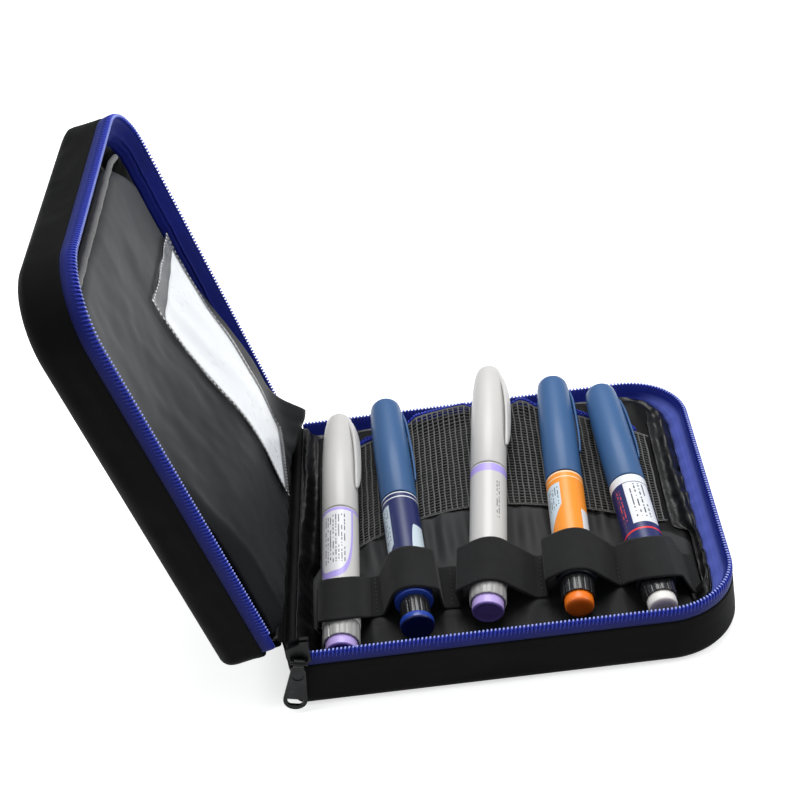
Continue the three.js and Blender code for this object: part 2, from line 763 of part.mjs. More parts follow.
function plate(shape, thickness, middle) {
  const form = { depth: thickness, bevelEnabled: false, curveSegments: curveSteps };
  const geometry = new THREE.ExtrudeGeometry(shape, form);
  return solid(geometry.rotateX(Math.PI / 2).translate(0, middle + thickness / 2, 0));
}

function bar(radius, length) {
  return new THREE.CylinderGeometry(radius, radius, length, barSides).rotateZ(Math.PI / 2);
}

const channel = row.beadWidth + 2 * slider.clearance;
const bridgeY = -(channel / 2 + slider.plate + bridge.standOff);

function zipSlider() {
  const { length, width, noseShare, shoulder } = slider;
  const shape = new THREE.Shape();
  shape.moveTo(-length / 2, (-width / 2) * noseShare);
  shape.lineTo(shoulder, -width / 2);
  shape.lineTo(length / 2, -width / 2);
  shape.lineTo(length / 2, width / 2);
  shape.lineTo(shoulder, width / 2);
  shape.lineTo(-length / 2, (width / 2) * noseShare);
  let body = plate(shape, slider.plate, -(channel + slider.plate) / 2);
  body = body.add(plate(shape, slider.plate, (channel + slider.plate) / 2));
  const [rearLength, rearMiddle] = [length / 2 - shoulder, (length / 2 + shoulder) / 2];
  const lipDepth = (channel - slider.slot) / 2 + slider.plate;
  for (const up of [-1, 1]) {
    for (const side of [-1, 1]) {
      const y = side * (slider.slot + lipDepth) / 2;
      const z = up * (width - slider.lip) / 2;
      body = body.add(block(rearLength, lipDepth, slider.lip, rearMiddle, y, z));
    }
  }
  body = body.add(block(slider.postLength, channel + slider.plate, slider.postHeight, rearMiddle, 0, 0));
  return geometryOf(body.add(bridgeBody()));
}

// The bridge leans with the tab that hangs on it
function leaned(geometry) {
  return geometry.rotateY(bridgeLean).translate(0, 0, -bridge.drop);
}

function bridgeBody() {
  let body = solid(leaned(bar(bridge.radius, bridge.length).translate(0, bridgeY, 0)));
  const reach = bridge.standOff + slider.plate / 2;
  for (const side of [-1, 1]) {
    const foot = new THREE.BoxGeometry(bridge.foot, reach, 2 * bridge.radius)
      .translate(side * (bridge.length - bridge.foot) / 2, bridgeY + reach / 2, 0);
    body = body.add(solid(leaned(foot)));
  }
  return body;
}

function pullTab() {
  const shape = new THREE.Shape();
  const endMiddle = -tab.length + tab.endRadius;
  const knuckleLength = bridge.length - 2 * bridge.foot - 2 * fitGap;
  const neck = -(tab.knuckleRadius + bridge.radius) / 2;
  const shoulder = -2 * tab.knuckleRadius;
  shape.moveTo(-knuckleLength / 2, neck);
  shape.lineTo(-knuckleLength / 2, (neck + shoulder) / 2);
  shape.lineTo(-tab.topWidth / 2, shoulder);
  shape.lineTo(-tab.bottomWidth / 2, endMiddle);
  shape.absarc(0, endMiddle, tab.endRadius, Math.PI, 2 * Math.PI, false);
  shape.lineTo(tab.topWidth / 2, shoulder);
  shape.lineTo(knuckleLength / 2, (neck + shoulder) / 2);
  shape.lineTo(knuckleLength / 2, neck);
  const hole = new THREE.Path();
  const holeLow = -tab.length + tab.holeFromEnd;
  const holeHigh = holeLow + tab.holeHeight;
  hole.moveTo(-tab.holeWidth / 2, holeHigh);
  hole.lineTo(tab.holeWidth / 2, holeHigh);
  hole.quadraticCurveTo(tab.holeWidth / 2, holeLow, tab.holeFlat / 2, holeLow);
  hole.lineTo(-tab.holeFlat / 2, holeLow);
  hole.quadraticCurveTo(-tab.holeWidth / 2, holeLow, -tab.holeWidth / 2, holeHigh);
  shape.holes.push(hole);
  let body = plate(shape, tab.thickness, 0);
  const knuckle = solid(bar(tab.knuckleRadius, knuckleLength));
  body = body.add(knuckle).subtract(solid(bar(bridge.radius + slider.clearance, 2 * bridge.length)));
  const dimple = new THREE.CylinderGeometry(tab.dimpleRadius, tab.dimpleRadius, 2 * tab.dimpleDepth, barSides)
    .translate(0, -tab.thickness / 2, -tab.dimpleDrop);
  body = body.subtract(solid(dimple));
  return leaned(geometryOf(body).translate(0, bridgeY, 0));
}

// Pens, in the pen's frame: Y runs from the dose button's face to the cap's end

const pen = {
  capWall: 1.35,
  capEndWall: 3.6,
  buttonFace: 1.6,
  buttonHead: 7,
  buttonBend: 0.77,
  buttonTravel: 2,
  buttonStemRadius: 2.5,
  buttonStem: 11,
  knobStart: 5.5,
  knobEnd: 15,
  ribDepth: 0.45,
  ribCount: 14,
  knobWeb: 1.6,
  barrelStart: 15.5,
  labelStart: 22,
  labelWall: 0.3,
  spigotLength: 8,
  driveRadius: 5.6,
  driveEnd: 58,
  holderRadius: 6.4,
  holderEnd: 148,
  neckRadius: 4,
  neckLength: 6,
  clipWidth: 4.6,
  clipThickness: 1.4,
  clipGap: 1,
};
const capRadius = penRadius;
const capBore = capRadius - pen.capWall;
const buttonPocket = pen.buttonHead + pen.buttonTravel + fitGap;
const driveStart = buttonPocket + pen.knobWeb + fitGap;
const barrelRadius = penRadius - pen.labelWall - fitGap;

// Outline of the cap's closed end, as shares of its radius and distances from its tip
const capEnds = {
  greyPlastic: [[0.55, 0.5], [0.72, 2.2], [0.84, 8], [0.95, 22], [1, 36]],
  bluePlastic: [[0.62, 0.5], [0.84, 2.4], [0.93, 8], [0.98, 18], [1, 30]],
};

function penCap(form, end) {
  const outer = end.map(([share, back]) => [share * capRadius, form.length - back]).reverse();
  const innerEnd = form.length - pen.capEndWall;
  const shell = turned([
    [capBore, form.capStart + fitGap],
    [capRadius, form.capStart + fitGap],
    ...outer,
    [0, form.length],
    [0, innerEnd],
    [pen.neckRadius + fitGap, innerEnd],
    [pen.holderRadius + 2 * fitGap, pen.holderEnd - pen.neckLength],
    [capBore, pen.holderEnd - pen.neckLength - 2 * pen.neckRadius],
    [capBore, form.capStart + fitGap],
  ]);
  return geometryOf(solid(shell).add(capClip(form, end)));
}

// The clip springs from the cap's end and runs forward beside it, its tip turned in towards the cap
function capClip(form, end) {
  const inner = capRadius + pen.clipGap;
  const outer = inner + pen.clipThickness;
  const root = form.length - end[2][1];
  const tip = form.clipStart;
  const rootRadius = capRadius * end[1][0];
  const shape = new THREE.Shape();
  shape.moveTo(rootRadius, form.length - end[1][1] - pen.clipThickness);
  shape.lineTo(rootRadius, root - pen.clipWidth);
  shape.lineTo(inner, root - 2 * pen.clipWidth);
  shape.lineTo(inner, tip + 2 * pen.clipWidth);
  shape.lineTo(inner - pen.clipGap / 2, tip + pen.clipWidth / 2);
  shape.lineTo(inner, tip);
  shape.lineTo(outer, tip);
  shape.lineTo(outer, root - pen.clipWidth);
  const geometry = new THREE.ExtrudeGeometry(shape, { depth: pen.clipWidth, bevelEnabled: false });
  return solid(geometry.translate(0, 0, -pen.clipWidth / 2));
}

// The barrel ends in the spigot that the cap slides onto, and its bore holds the dose drive
function penBarrel(form) {
  const bore = pen.driveRadius + fitGap;
  const spigotEnd = form.capStart + pen.spigotLength;
  return turned([
    [bore, pen.barrelStart],
    [penRadius, pen.barrelStart],
    [penRadius, pen.labelStart - fitGap],
    [barrelRadius, pen.labelStart - fitGap],
    [barrelRadius, form.capStart - fitGap],
    [capBore - fitGap, form.capStart],
    [capBore - fitGap, spigotEnd],
    [0, spigotEnd],
    [0, pen.driveEnd + fitGap],
    [bore, pen.driveEnd + fitGap],
    [bore, pen.barrelStart],
  ]);
}

function penLabel(form) {
  const inner = penRadius - pen.labelWall;
  const [start, end] = [pen.labelStart, form.capStart - 2 * fitGap];
  return turned([[inner, start], [penRadius, start], [penRadius, end], [inner, end], [inner, start]]);
}

// The clear cartridge holder, with the neck that the needle screws onto
function cartridgeHolder(form) {
  const start = form.capStart + pen.spigotLength + fitGap;
  const shoulder = pen.holderEnd - pen.neckLength;
  return turned([
    [0, start],
    [pen.holderRadius, start],
    [pen.holderRadius, shoulder - pen.neckRadius / 2],
    [pen.neckRadius, shoulder],
    [pen.neckRadius, pen.holderEnd],
    [0, pen.holderEnd],
  ]);
}

function doseDrive() {
  const stemBore = pen.buttonStemRadius + fitGap;
  const boreEnd = pen.buttonStem + pen.buttonTravel + pen.knobWeb;
  return turned([
    [stemBore, driveStart],
    [pen.driveRadius, driveStart],
    [pen.driveRadius, pen.driveEnd],
    [0, pen.driveEnd],
    [0, boreEnd],
    [stemBore, boreEnd],
    [stemBore, driveStart],
  ]);
}

// The knob's front takes the button in a pocket, or carries the wide button's skirt
function doseKnob(form) {
  const outline = steps(2 * pen.ribCount).slice(1).map((share, i) => {
    const radius = form.knobRadius - (i % 2) * pen.ribDepth;
    return new THREE.Vector2(radius * Math.cos(share * 2 * Math.PI), radius * Math.sin(share * 2 * Math.PI));
  });
  const start = form.skirted ? pen.buttonFace + pen.buttonTravel + fitGap : pen.knobStart;
  const depth = pen.knobEnd - start;
  const ribbed = new THREE.ExtrudeGeometry(new THREE.Shape(outline), { depth, bevelEnabled: false })
    .rotateX(Math.PI / 2).translate(0, pen.knobEnd, 0);
  const stem = pen.buttonStemRadius + fitGap;
  const pocket = form.skirted ? stem : form.buttonRadius + fitGap;
  const bore = pen.driveRadius + fitGap;
  const cut = turned([
    [0, start - fitGap],
    [pocket, start - fitGap],
    [pocket, buttonPocket],
    [stem, buttonPocket],
    [stem, driveStart - fitGap],
    [bore, driveStart - fitGap],
    [bore, pen.knobEnd + fitGap],
    [0, pen.knobEnd + fitGap],
  ].filter((point, i, all) => i === 0 || point.some((value, k) => value !== all[i - 1][k])));
  return geometryOf(solid(ribbed).subtract(solid(cut)));
}

function doseButton(form) {
  const bend = pen.buttonBend;
  const skirt = [[form.knobRadius + fitGap, pen.buttonHead], [form.knobRadius + fitGap, pen.buttonFace]];
  return turned([
    [0, 0],
    [form.buttonRadius - bend, 0],
    [form.buttonRadius, bend],
    [form.buttonRadius, pen.buttonHead],
    ...(form.skirted ? skirt : []),
    [pen.buttonStemRadius, form.skirted ? pen.buttonFace : pen.buttonHead],
    [pen.buttonStemRadius, pen.buttonStem],
    [0, pen.buttonStem],
  ]);
}

function insulinPen(place, number) {
  const name = (part) => `pen_${number}_${part}`;
  const form = penForms[place.kind];
  const finish = penFinishes[place.kind];
  const group = new THREE.Group();
  const cap = piece(name('cap'), penCap(form, capEnds[finish.cap]), finish.cap);
  cap.rotation.y = -place.clipTurn;
  group.add(
    cap,
    piece(name('barrel'), penBarrel(form), finish.barrel),
    piece(name('label'), penLabel(form), finish.label),
    piece(name('cartridge_holder'), cartridgeHolder(form), 'clear'),
    piece(name('dose_drive'), doseDrive(), 'white'),
    piece(name('dose_knob'), doseKnob(form), finish.knob),
    piece(name('dose_button'), doseButton(form), finish.button),
  );
  group.position.set(place.x, place.y, place.z);
  group.rotation.set(place.tilt, 0, -place.swing, 'ZYX');
  return group;
}

// Assembly

const coolingCase = new THREE.Group();

coolingCase.add(
  ...caseHalf('base', baseHeight, baseEdgeRadius, zipStart),
  piece('base_gel_pack', baseGelPack(), 'gel'),
  piece('pen_panel', penPanel(), 'nylon'),
  piece('mesh_pocket', meshPocket(), 'net'),
  piece('pocket_zip', pocketZipChain(), 'coil'),
  piece('pen_strap', penStrap(), 'elastic'),
  piece('hinge_spine', hingeSpine(), 'shell'),
);

// The lid is a tray turned over: its outer face is up when closed, and it turns about the rim's hinge edge
const lid = new THREE.Group();
const lidTray = new THREE.Group();
lid.position.set(-caseWidth / 2, 0, baseHeight);
lid.rotation.y = -openAngle;
lidTray.position.set(caseWidth / 2, 0, lidDepth);
lidTray.rotation.x = Math.PI;
// The lid's row of teeth starts beyond the parked slider, so that the lid can open and close past it
const lidRowStart = sliderStart + slider.length / 2 + slider.plate + fitGap;
const cardLift = padding.facetRoom;
const filmLift = cardLift + window.card + fitGap;
lidTray.add(
  ...caseHalf('lid', lidDepth, lidEdgeRadius, lidRowStart),
  piece('lid_panel', lidPanel(), 'nylon'),
  piece('lid_gel_pack', lidGelPack(), 'gel'),
  piece('info_card', windowSheet(window.margin, cardLift, window.card), 'card'),
  piece('card_window', windowSheet(0, filmLift, window.film), 'film'),
  piece('lid_pocket_binding', pocketBinding(), 'nylon'),
);
lid.add(lidTray);
coolingCase.add(lid);

const zipper = new THREE.Group();
zipper.add(piece('zip_slider', zipSlider(), 'blackMetal'), piece('pull_tab', pullTab(), 'blackMetal'));
zipper.position.set(sliderStart, -caseDepth / 2 + tape.centreInset, baseHeight);
coolingCase.add(zipper);

penPlaces.forEach((place, i) => coolingCase.add(insulinPen(place, i + 1)));

export default coolingCase;
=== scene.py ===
import json
import math

import bpy
import numpy as np
from mathutils import Matrix, Vector, noise
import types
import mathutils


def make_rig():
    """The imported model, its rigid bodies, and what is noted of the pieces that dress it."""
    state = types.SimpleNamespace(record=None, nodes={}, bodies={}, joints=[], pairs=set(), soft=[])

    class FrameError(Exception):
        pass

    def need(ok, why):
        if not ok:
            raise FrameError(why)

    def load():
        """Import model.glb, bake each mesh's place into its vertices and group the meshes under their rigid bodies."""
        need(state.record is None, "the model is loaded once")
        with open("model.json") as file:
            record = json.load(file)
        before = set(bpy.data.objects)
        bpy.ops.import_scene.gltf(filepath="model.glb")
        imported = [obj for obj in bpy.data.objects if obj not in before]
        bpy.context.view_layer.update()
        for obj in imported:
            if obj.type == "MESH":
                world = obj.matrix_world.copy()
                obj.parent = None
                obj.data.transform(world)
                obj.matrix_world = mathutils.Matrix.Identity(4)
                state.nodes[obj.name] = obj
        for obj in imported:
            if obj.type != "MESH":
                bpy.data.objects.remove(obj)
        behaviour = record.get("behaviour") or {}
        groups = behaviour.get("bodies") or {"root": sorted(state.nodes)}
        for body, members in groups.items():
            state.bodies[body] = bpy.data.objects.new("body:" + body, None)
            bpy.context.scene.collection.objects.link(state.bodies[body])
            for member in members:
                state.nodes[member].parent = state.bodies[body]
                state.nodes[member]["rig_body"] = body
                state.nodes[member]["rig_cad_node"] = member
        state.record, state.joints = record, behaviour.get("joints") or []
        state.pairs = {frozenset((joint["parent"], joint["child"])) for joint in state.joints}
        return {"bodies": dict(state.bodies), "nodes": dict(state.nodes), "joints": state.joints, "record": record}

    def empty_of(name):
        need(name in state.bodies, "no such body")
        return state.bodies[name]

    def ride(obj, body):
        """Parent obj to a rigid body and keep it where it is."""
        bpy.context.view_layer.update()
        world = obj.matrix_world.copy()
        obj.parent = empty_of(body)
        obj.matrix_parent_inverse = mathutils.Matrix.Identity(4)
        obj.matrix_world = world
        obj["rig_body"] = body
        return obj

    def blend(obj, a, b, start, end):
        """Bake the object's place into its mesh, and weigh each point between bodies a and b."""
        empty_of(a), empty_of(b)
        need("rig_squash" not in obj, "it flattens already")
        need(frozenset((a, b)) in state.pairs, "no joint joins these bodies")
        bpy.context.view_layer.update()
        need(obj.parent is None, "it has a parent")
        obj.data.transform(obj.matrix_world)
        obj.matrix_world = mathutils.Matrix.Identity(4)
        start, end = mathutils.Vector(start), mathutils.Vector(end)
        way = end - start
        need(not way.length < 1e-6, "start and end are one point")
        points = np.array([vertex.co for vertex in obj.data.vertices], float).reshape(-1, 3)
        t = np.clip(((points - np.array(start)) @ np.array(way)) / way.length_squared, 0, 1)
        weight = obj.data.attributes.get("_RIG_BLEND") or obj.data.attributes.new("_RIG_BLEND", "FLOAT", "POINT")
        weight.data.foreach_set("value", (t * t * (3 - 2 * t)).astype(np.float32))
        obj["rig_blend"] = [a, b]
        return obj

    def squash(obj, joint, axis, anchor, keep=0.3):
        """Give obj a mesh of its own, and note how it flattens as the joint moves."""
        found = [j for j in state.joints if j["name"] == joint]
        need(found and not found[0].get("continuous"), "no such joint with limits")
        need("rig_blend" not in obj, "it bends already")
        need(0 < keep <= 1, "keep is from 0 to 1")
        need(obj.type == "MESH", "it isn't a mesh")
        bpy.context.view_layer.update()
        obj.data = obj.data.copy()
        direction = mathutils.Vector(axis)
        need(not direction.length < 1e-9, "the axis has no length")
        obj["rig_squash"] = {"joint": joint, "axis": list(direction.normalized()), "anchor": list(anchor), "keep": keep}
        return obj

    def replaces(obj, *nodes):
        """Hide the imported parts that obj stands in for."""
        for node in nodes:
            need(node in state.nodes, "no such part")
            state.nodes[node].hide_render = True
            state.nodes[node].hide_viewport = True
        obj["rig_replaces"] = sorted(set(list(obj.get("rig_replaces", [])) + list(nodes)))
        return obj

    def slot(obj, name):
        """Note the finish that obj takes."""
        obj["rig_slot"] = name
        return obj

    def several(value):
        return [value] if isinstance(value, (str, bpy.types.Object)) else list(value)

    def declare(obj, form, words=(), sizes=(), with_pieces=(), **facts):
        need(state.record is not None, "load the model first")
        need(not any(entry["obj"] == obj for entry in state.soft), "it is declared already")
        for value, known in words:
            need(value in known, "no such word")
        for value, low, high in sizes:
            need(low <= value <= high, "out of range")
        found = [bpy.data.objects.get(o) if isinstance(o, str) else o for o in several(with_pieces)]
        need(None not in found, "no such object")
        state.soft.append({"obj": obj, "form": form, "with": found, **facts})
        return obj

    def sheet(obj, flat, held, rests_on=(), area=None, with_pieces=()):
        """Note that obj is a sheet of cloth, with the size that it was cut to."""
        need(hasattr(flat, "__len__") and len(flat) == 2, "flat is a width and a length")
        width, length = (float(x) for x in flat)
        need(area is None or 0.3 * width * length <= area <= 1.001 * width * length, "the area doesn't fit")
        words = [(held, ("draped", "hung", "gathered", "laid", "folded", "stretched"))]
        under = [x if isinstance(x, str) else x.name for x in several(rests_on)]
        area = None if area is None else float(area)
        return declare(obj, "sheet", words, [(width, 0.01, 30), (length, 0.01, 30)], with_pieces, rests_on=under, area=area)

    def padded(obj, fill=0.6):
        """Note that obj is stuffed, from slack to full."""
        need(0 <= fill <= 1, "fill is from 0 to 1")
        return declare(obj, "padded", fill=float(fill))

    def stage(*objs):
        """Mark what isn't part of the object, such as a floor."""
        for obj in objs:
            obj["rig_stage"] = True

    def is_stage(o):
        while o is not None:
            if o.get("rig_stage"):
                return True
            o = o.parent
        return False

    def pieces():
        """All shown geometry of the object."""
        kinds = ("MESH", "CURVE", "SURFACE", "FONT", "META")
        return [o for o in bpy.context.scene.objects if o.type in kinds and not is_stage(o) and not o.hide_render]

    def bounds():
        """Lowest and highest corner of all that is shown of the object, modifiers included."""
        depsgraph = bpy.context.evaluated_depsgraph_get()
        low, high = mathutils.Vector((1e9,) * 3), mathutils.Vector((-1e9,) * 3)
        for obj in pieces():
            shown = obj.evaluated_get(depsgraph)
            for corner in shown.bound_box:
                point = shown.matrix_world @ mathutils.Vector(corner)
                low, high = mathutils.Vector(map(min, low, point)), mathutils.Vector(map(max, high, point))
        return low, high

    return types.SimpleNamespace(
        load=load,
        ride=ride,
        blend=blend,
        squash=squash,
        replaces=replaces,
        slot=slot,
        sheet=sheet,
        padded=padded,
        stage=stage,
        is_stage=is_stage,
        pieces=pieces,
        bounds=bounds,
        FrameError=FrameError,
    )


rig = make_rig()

bl_info = {
    "name": "Insulin Cooling Case",
    "version": (1, 0, 0),
    "blender": (4, 5, 0),
    "location": "View3D > Sidebar > Cooling Case",
    "description": "Builds the looks of a soft case with insulin pens over its CAD frame",
    "category": "Object",
}

MM = 0.001
TURN = 2 * math.pi

# The case: the base's width and depth, both halves' heights, the rim's corner radii and the lid's angle
WIDTH, DEPTH, BASE, LID = 205.0, 185.0, 32.0, 30.0
CORNER, HINGE_CORNER = 33.0, 4.5
OPEN = math.radians(103.9)

# Radii of the shells' bottom edges, and the insets of the inner wall and of the tape's leg
BASE_EDGE, LID_EDGE = 4.0, 8.0
INNER, LEG = 4.8, 5.1

# The tape's leg: how far it hangs below the rim, how much further at the free side, how far its foot leans
# in there, and how much longer it is on the lid
TAPE_DROP, FREE_DROP, FREE_LEAN, LID_SKIRT = 9, 4, 4.8, 4.5

# How far the pads end from the front and rear edges, and the height of the lid's lining over its outer face
PAD_INSET = 7.5
LID_FLOOR = INNER + 1.5

# A pen's radius, how deep it sinks into the pad, and where its label starts
PEN_RADIUS, PEN_SEAT = 9.0, 0.5
LABEL_START = 22.0

# Each kind of pen: its length, where its cap and its clip's tip start, its knob's and its button's radius,
# the style of its cap, and its slots in the record: cap and barrel, label, knob, button
KINDS = {
    "grey": dict(length=161.0, cap=88.0, clip=103.5, knob=8.7, button=7.4, style="grey",
                 slots=("grey_plastic", "pale_label", "knob_grey", "lilac_plastic")),
    "blue": dict(length=156.0, cap=82.5, clip=96.5, knob=7.0, button=7.9, style="blue",
                 slots=("blue_plastic", "navy_label", "black_plastic", "blue_plastic")),
    "orange": dict(length=156.0, cap=82.5, clip=102.5, knob=7.9, button=6.7, style="blue",
                   slots=("blue_plastic", "orange_label", "black_plastic", "orange_plastic")),
}
KINDS["plain"] = KINDS["grey"]
KINDS["navy"] = {**KINDS["orange"], "slots": ("blue_plastic", "navy_label", "black_plastic", "white_plastic")}

# Where each pen's button face lies, its tilt, swing and clip turn in degrees, and its kind
PENS = [
    dict(at=(-78.3, -84.2, 20.7), tilt=6.8, swing=0.6, turn=25, kind="grey"),
    dict(at=(-43, -74.4, 22.3), tilt=7.1, swing=-3.4, turn=0, kind="blue"),
    dict(at=(-10.6, -68.4, 21), tilt=10, swing=5.3, turn=20, kind="plain"),
    dict(at=(31, -74.4, 22), tilt=7.6, swing=1.8, turn=0, kind="orange"),
    dict(at=(67.9, -82.6, 23), tilt=5.9, swing=-3.1, turn=-5, kind="navy"),
]


# Shapes


def mix(a, b, share):
    return a + (b - a) * share


def smooth(share):
    share = np.clip(share, 0, 1)
    return share * share * (3 - 2 * share)


def lumps(points, size, seed=0.0, octaves=2):
    """Smooth noise from -1 to 1 at each point. size is the lumps' size along each axis."""
    scaled = np.asarray(points, float).reshape(-1, 3) / np.asarray(size, float)
    out = np.zeros(len(scaled))
    for octave in range(octaves):
        factor = 2.0**octave
        shift = Vector((seed, seed * 1.7 + octave * 5.1, -seed))
        out += [noise.noise(Vector(p) * factor + shift) / factor for p in scaled]
    return out.reshape(np.asarray(points).shape[:-1])


def lid_matrix():
    """The lid's own tray, open side up, to its place on the open lid."""
    hinge = Matrix.Translation((-WIDTH / 2, 0, BASE)) @ Matrix.Rotation(-OPEN, 4, "Y")
    return hinge @ Matrix.Translation((WIDTH / 2, 0, LID)) @ Matrix.Rotation(math.pi, 4, "X")


def moved(points, matrix):
    m = np.array(matrix)
    return np.asarray(points, float) @ m[:3, :3].T + m[:3, 3]


def mesh_object(name, points, faces, uvs=None, matrix=None):
    """A smooth mesh from points in millimetres. uvs has one pair for each corner of each face."""
    points = np.asarray(points, float).reshape(-1, 3)
    if matrix is not None:
        points = moved(points, matrix)
    mesh = bpy.data.meshes.new(name)
    mesh.from_pydata((points * MM).tolist(), [], [tuple(map(int, f)) for f in faces])
    mesh.update()
    if uvs is not None:
        layer = mesh.uv_layers.new(name="UVMap")
        layer.data.foreach_set("uv", np.asarray(uvs, float).ravel())
    mesh.polygons.foreach_set("use_smooth", [True] * len(mesh.polygons))
    made = bpy.data.objects.new(name, mesh)
    bpy.context.scene.collection.objects.link(made)
    return made


def grid_faces(rows, columns, closed=False):
    i, j = np.meshgrid(np.arange(rows - 1), np.arange(columns if closed else columns - 1), indexing="ij")
    i, j = i.ravel(), j.ravel()
    k = (j + 1) % columns
    near, far = i * columns, (i + 1) * columns
    return np.stack([near + j, near + k, far + k, far + j], 1)


def surface(name, points, u, v, closed=False, matrix=None, flip=False):
    """A sheet through a grid of points. u and v are each point's place on the cloth in millimetres."""
    rows, columns = points.shape[:2]
    faces = grid_faces(rows, columns, closed)
    wide = columns + 1 if closed else columns
    u = np.broadcast_to(u, (rows, wide))
    v = np.broadcast_to(v, (rows, wide))
    i, j = np.meshgrid(np.arange(rows - 1), np.arange(wide - 1), indexing="ij")
    i, j = i.ravel(), j.ravel()
    corners = [(i, j), (i, j + 1), (i + 1, j + 1), (i + 1, j)]
    uvs = np.stack([np.stack([u[a, b], v[a, b]], -1) for a, b in corners], 1)
    if flip:
        faces, uvs = faces[:, ::-1], uvs[:, ::-1]
    return mesh_object(name, points, faces, uvs.reshape(-1, 2), matrix)


def thicken(made, thickness, offset=-1.0):
    """Gives a sheet its thickness in millimetres, as part of its mesh."""
    solid = made.modifiers.new("Thickness", "SOLIDIFY")
    solid.thickness, solid.offset = thickness * MM, offset
    shape = made.evaluated_get(bpy.context.evaluated_depsgraph_get())
    mesh = bpy.data.meshes.new_from_object(shape)
    made.modifiers.clear()
    made.data = mesh
    mesh.polygons.foreach_set("use_smooth", [True] * len(mesh.polygons))
    return made


def tube(points, radius, sides):
    """Points and faces of a round tube along a line, with closed ends."""
    points = np.asarray(points, float)
    along = np.gradient(points, axis=0)
    along /= np.linalg.norm(along, axis=1, keepdims=True)
    up = np.array([0, 0, 1.0]) if abs(along[0][2]) < 0.9 else np.array([1.0, 0, 0])
    side = np.cross(along, up)
    side /= np.linalg.norm(side, axis=1, keepdims=True)
    rise = np.cross(side, along)
    angles = np.arange(sides) * TURN / sides
    radius = np.broadcast_to(radius, len(points))[:, None, None]
    rings = points[:, None] + radius * (
        np.cos(angles)[None, :, None] * side[:, None] + np.sin(angles)[None, :, None] * rise[:, None]
    )
    faces = grid_faces(len(points), sides, True)[:, ::-1].tolist()
    near, far = ends_of(sides, len(points))
    faces += [near, far[::-1]]
    return rings.reshape(-1, 3), faces


def relaxed(line, times):
    """Evens out a line's bends, in place, and keeps its ends."""
    for _ in range(times):
        line[1:-1] = 0.25 * line[:-2] + 0.5 * line[1:-1] + 0.25 * line[2:]


def ends_of(sides, rings):
    """The two faces that close a tube."""
    return [list(range(sides)), list(range((rings - 1) * sides, rings * sides))]


def joined(parts):
    """Joins point and face lists into one."""
    points, faces, first = [], [], 0
    for more_points, more_faces in parts:
        points.append(np.asarray(more_points))
        faces += [[first + i for i in face] for face in more_faces]
        first += len(more_points)
    return np.concatenate(points), faces


class Rim:
    """Stations round the case's outline, anticlockwise from the front hinge corner."""

    corners = [
        (-1, -1, HINGE_CORNER, math.pi),
        (1, -1, CORNER, 1.5 * math.pi),
        (1, 1, CORNER, 0.0),
        (-1, 1, HINGE_CORNER, 0.5 * math.pi),
    ]

    def __init__(self, step):
        self.counts = [4, round(52 / step), round(52 / step), 4]
        lengths = [WIDTH - CORNER - HINGE_CORNER, DEPTH - 2 * CORNER, WIDTH - CORNER - HINGE_CORNER]
        self.sides = [round(length / step) for length in [*lengths, DEPTH - 2 * HINGE_CORNER]]
        self.knots = [0.0, HINGE_CORNER - 0.3, CORNER - 0.3]
        self.rings = [self.ring(inset) for inset in self.knots]
        line = self.rings[0]
        steps = np.linalg.norm(np.roll(line, -1, 0) - line, axis=1)
        self.s = np.concatenate([[0], np.cumsum(steps)])
        self.flare, self.zipped = self.marks()
        self.has_zip = np.isin(np.arange(len(self.flare)), self.zipped)

    def soft_zip(self):
        """1 at the stations that have a zip and 0 along the hinge, with a soft change between them."""
        zipped = self.has_zip
        return np.convolve(np.r_[zipped[-4:], zipped, zipped[:4]].astype(float), np.ones(9) / 9, "valid")

    def ring(self, inset):
        arcs = []
        for (x, y, radius, start), count in zip(self.corners, self.counts):
            bend = max(radius - inset, 0.3)
            angles = start + np.arange(count + 1) / count * math.pi / 2
            centre = (x * (WIDTH / 2 - inset - bend), y * (DEPTH / 2 - inset - bend))
            arcs.append(np.stack([centre[0] + bend * np.cos(angles), centre[1] + bend * np.sin(angles)], 1))
        out = []
        for i, arc in enumerate(arcs):
            ahead = arcs[(i + 1) % 4][0]
            share = (np.arange(1, self.sides[i]) / self.sides[i])[:, None]
            out += [arc, arc[-1] + (ahead - arc[-1]) * share]
        return np.concatenate(out)

    def marks(self):
        """flare is 0 along front and back and 1 along the free side. zipped lists the stations with a zip."""
        flare = []
        for i in range(4):
            turn = np.arange(self.counts[i] + 1) / self.counts[i]
            corner = [0 * turn, smooth(turn), smooth(1 - turn), 0 * turn][i]
            flare += [corner, np.full(self.sides[i] - 1, 1.0 if i == 1 else 0.0)]
        flare = np.concatenate(flare)
        last = len(flare) - self.sides[3] + 1 - self.counts[3] - 1
        return flare, np.arange(self.counts[0], last + 1)

    def at(self, inset, z):
        """The point of each station at an inset and a height, each one number or one for each station."""
        inset = np.broadcast_to(np.asarray(inset, float), len(self.rings[0]))
        out = np.empty((len(inset), 3))
        for axis in range(2):
            low, middle, high = (ring[:, axis] for ring in self.rings)
            share = np.clip(inset / self.knots[1], 0, 1)
            more = np.clip((inset - self.knots[1]) / (self.knots[2] - self.knots[1]), 0, 1)
            out[:, axis] = low + (middle - low) * share + (high - middle) * more
        out[:, 2] = z
        return out

    def at_zip(self, inset, z):
        """The same for the stations with a zip alone, with one inset and one height for each of them."""
        full = np.zeros((2, len(self.flare)))
        full[:, self.zipped] = inset, z
        return self.at(*full)[self.zipped]

    def inward(self):
        way = self.rings[1] - self.rings[0]
        return way / np.linalg.norm(way, axis=1, keepdims=True)


def pen_axis(pen):
    tilt, swing = math.radians(pen["tilt"]), math.radians(pen["swing"])
    return np.array([math.sin(swing) * math.cos(tilt), math.cos(swing) * math.cos(tilt), math.sin(tilt)])


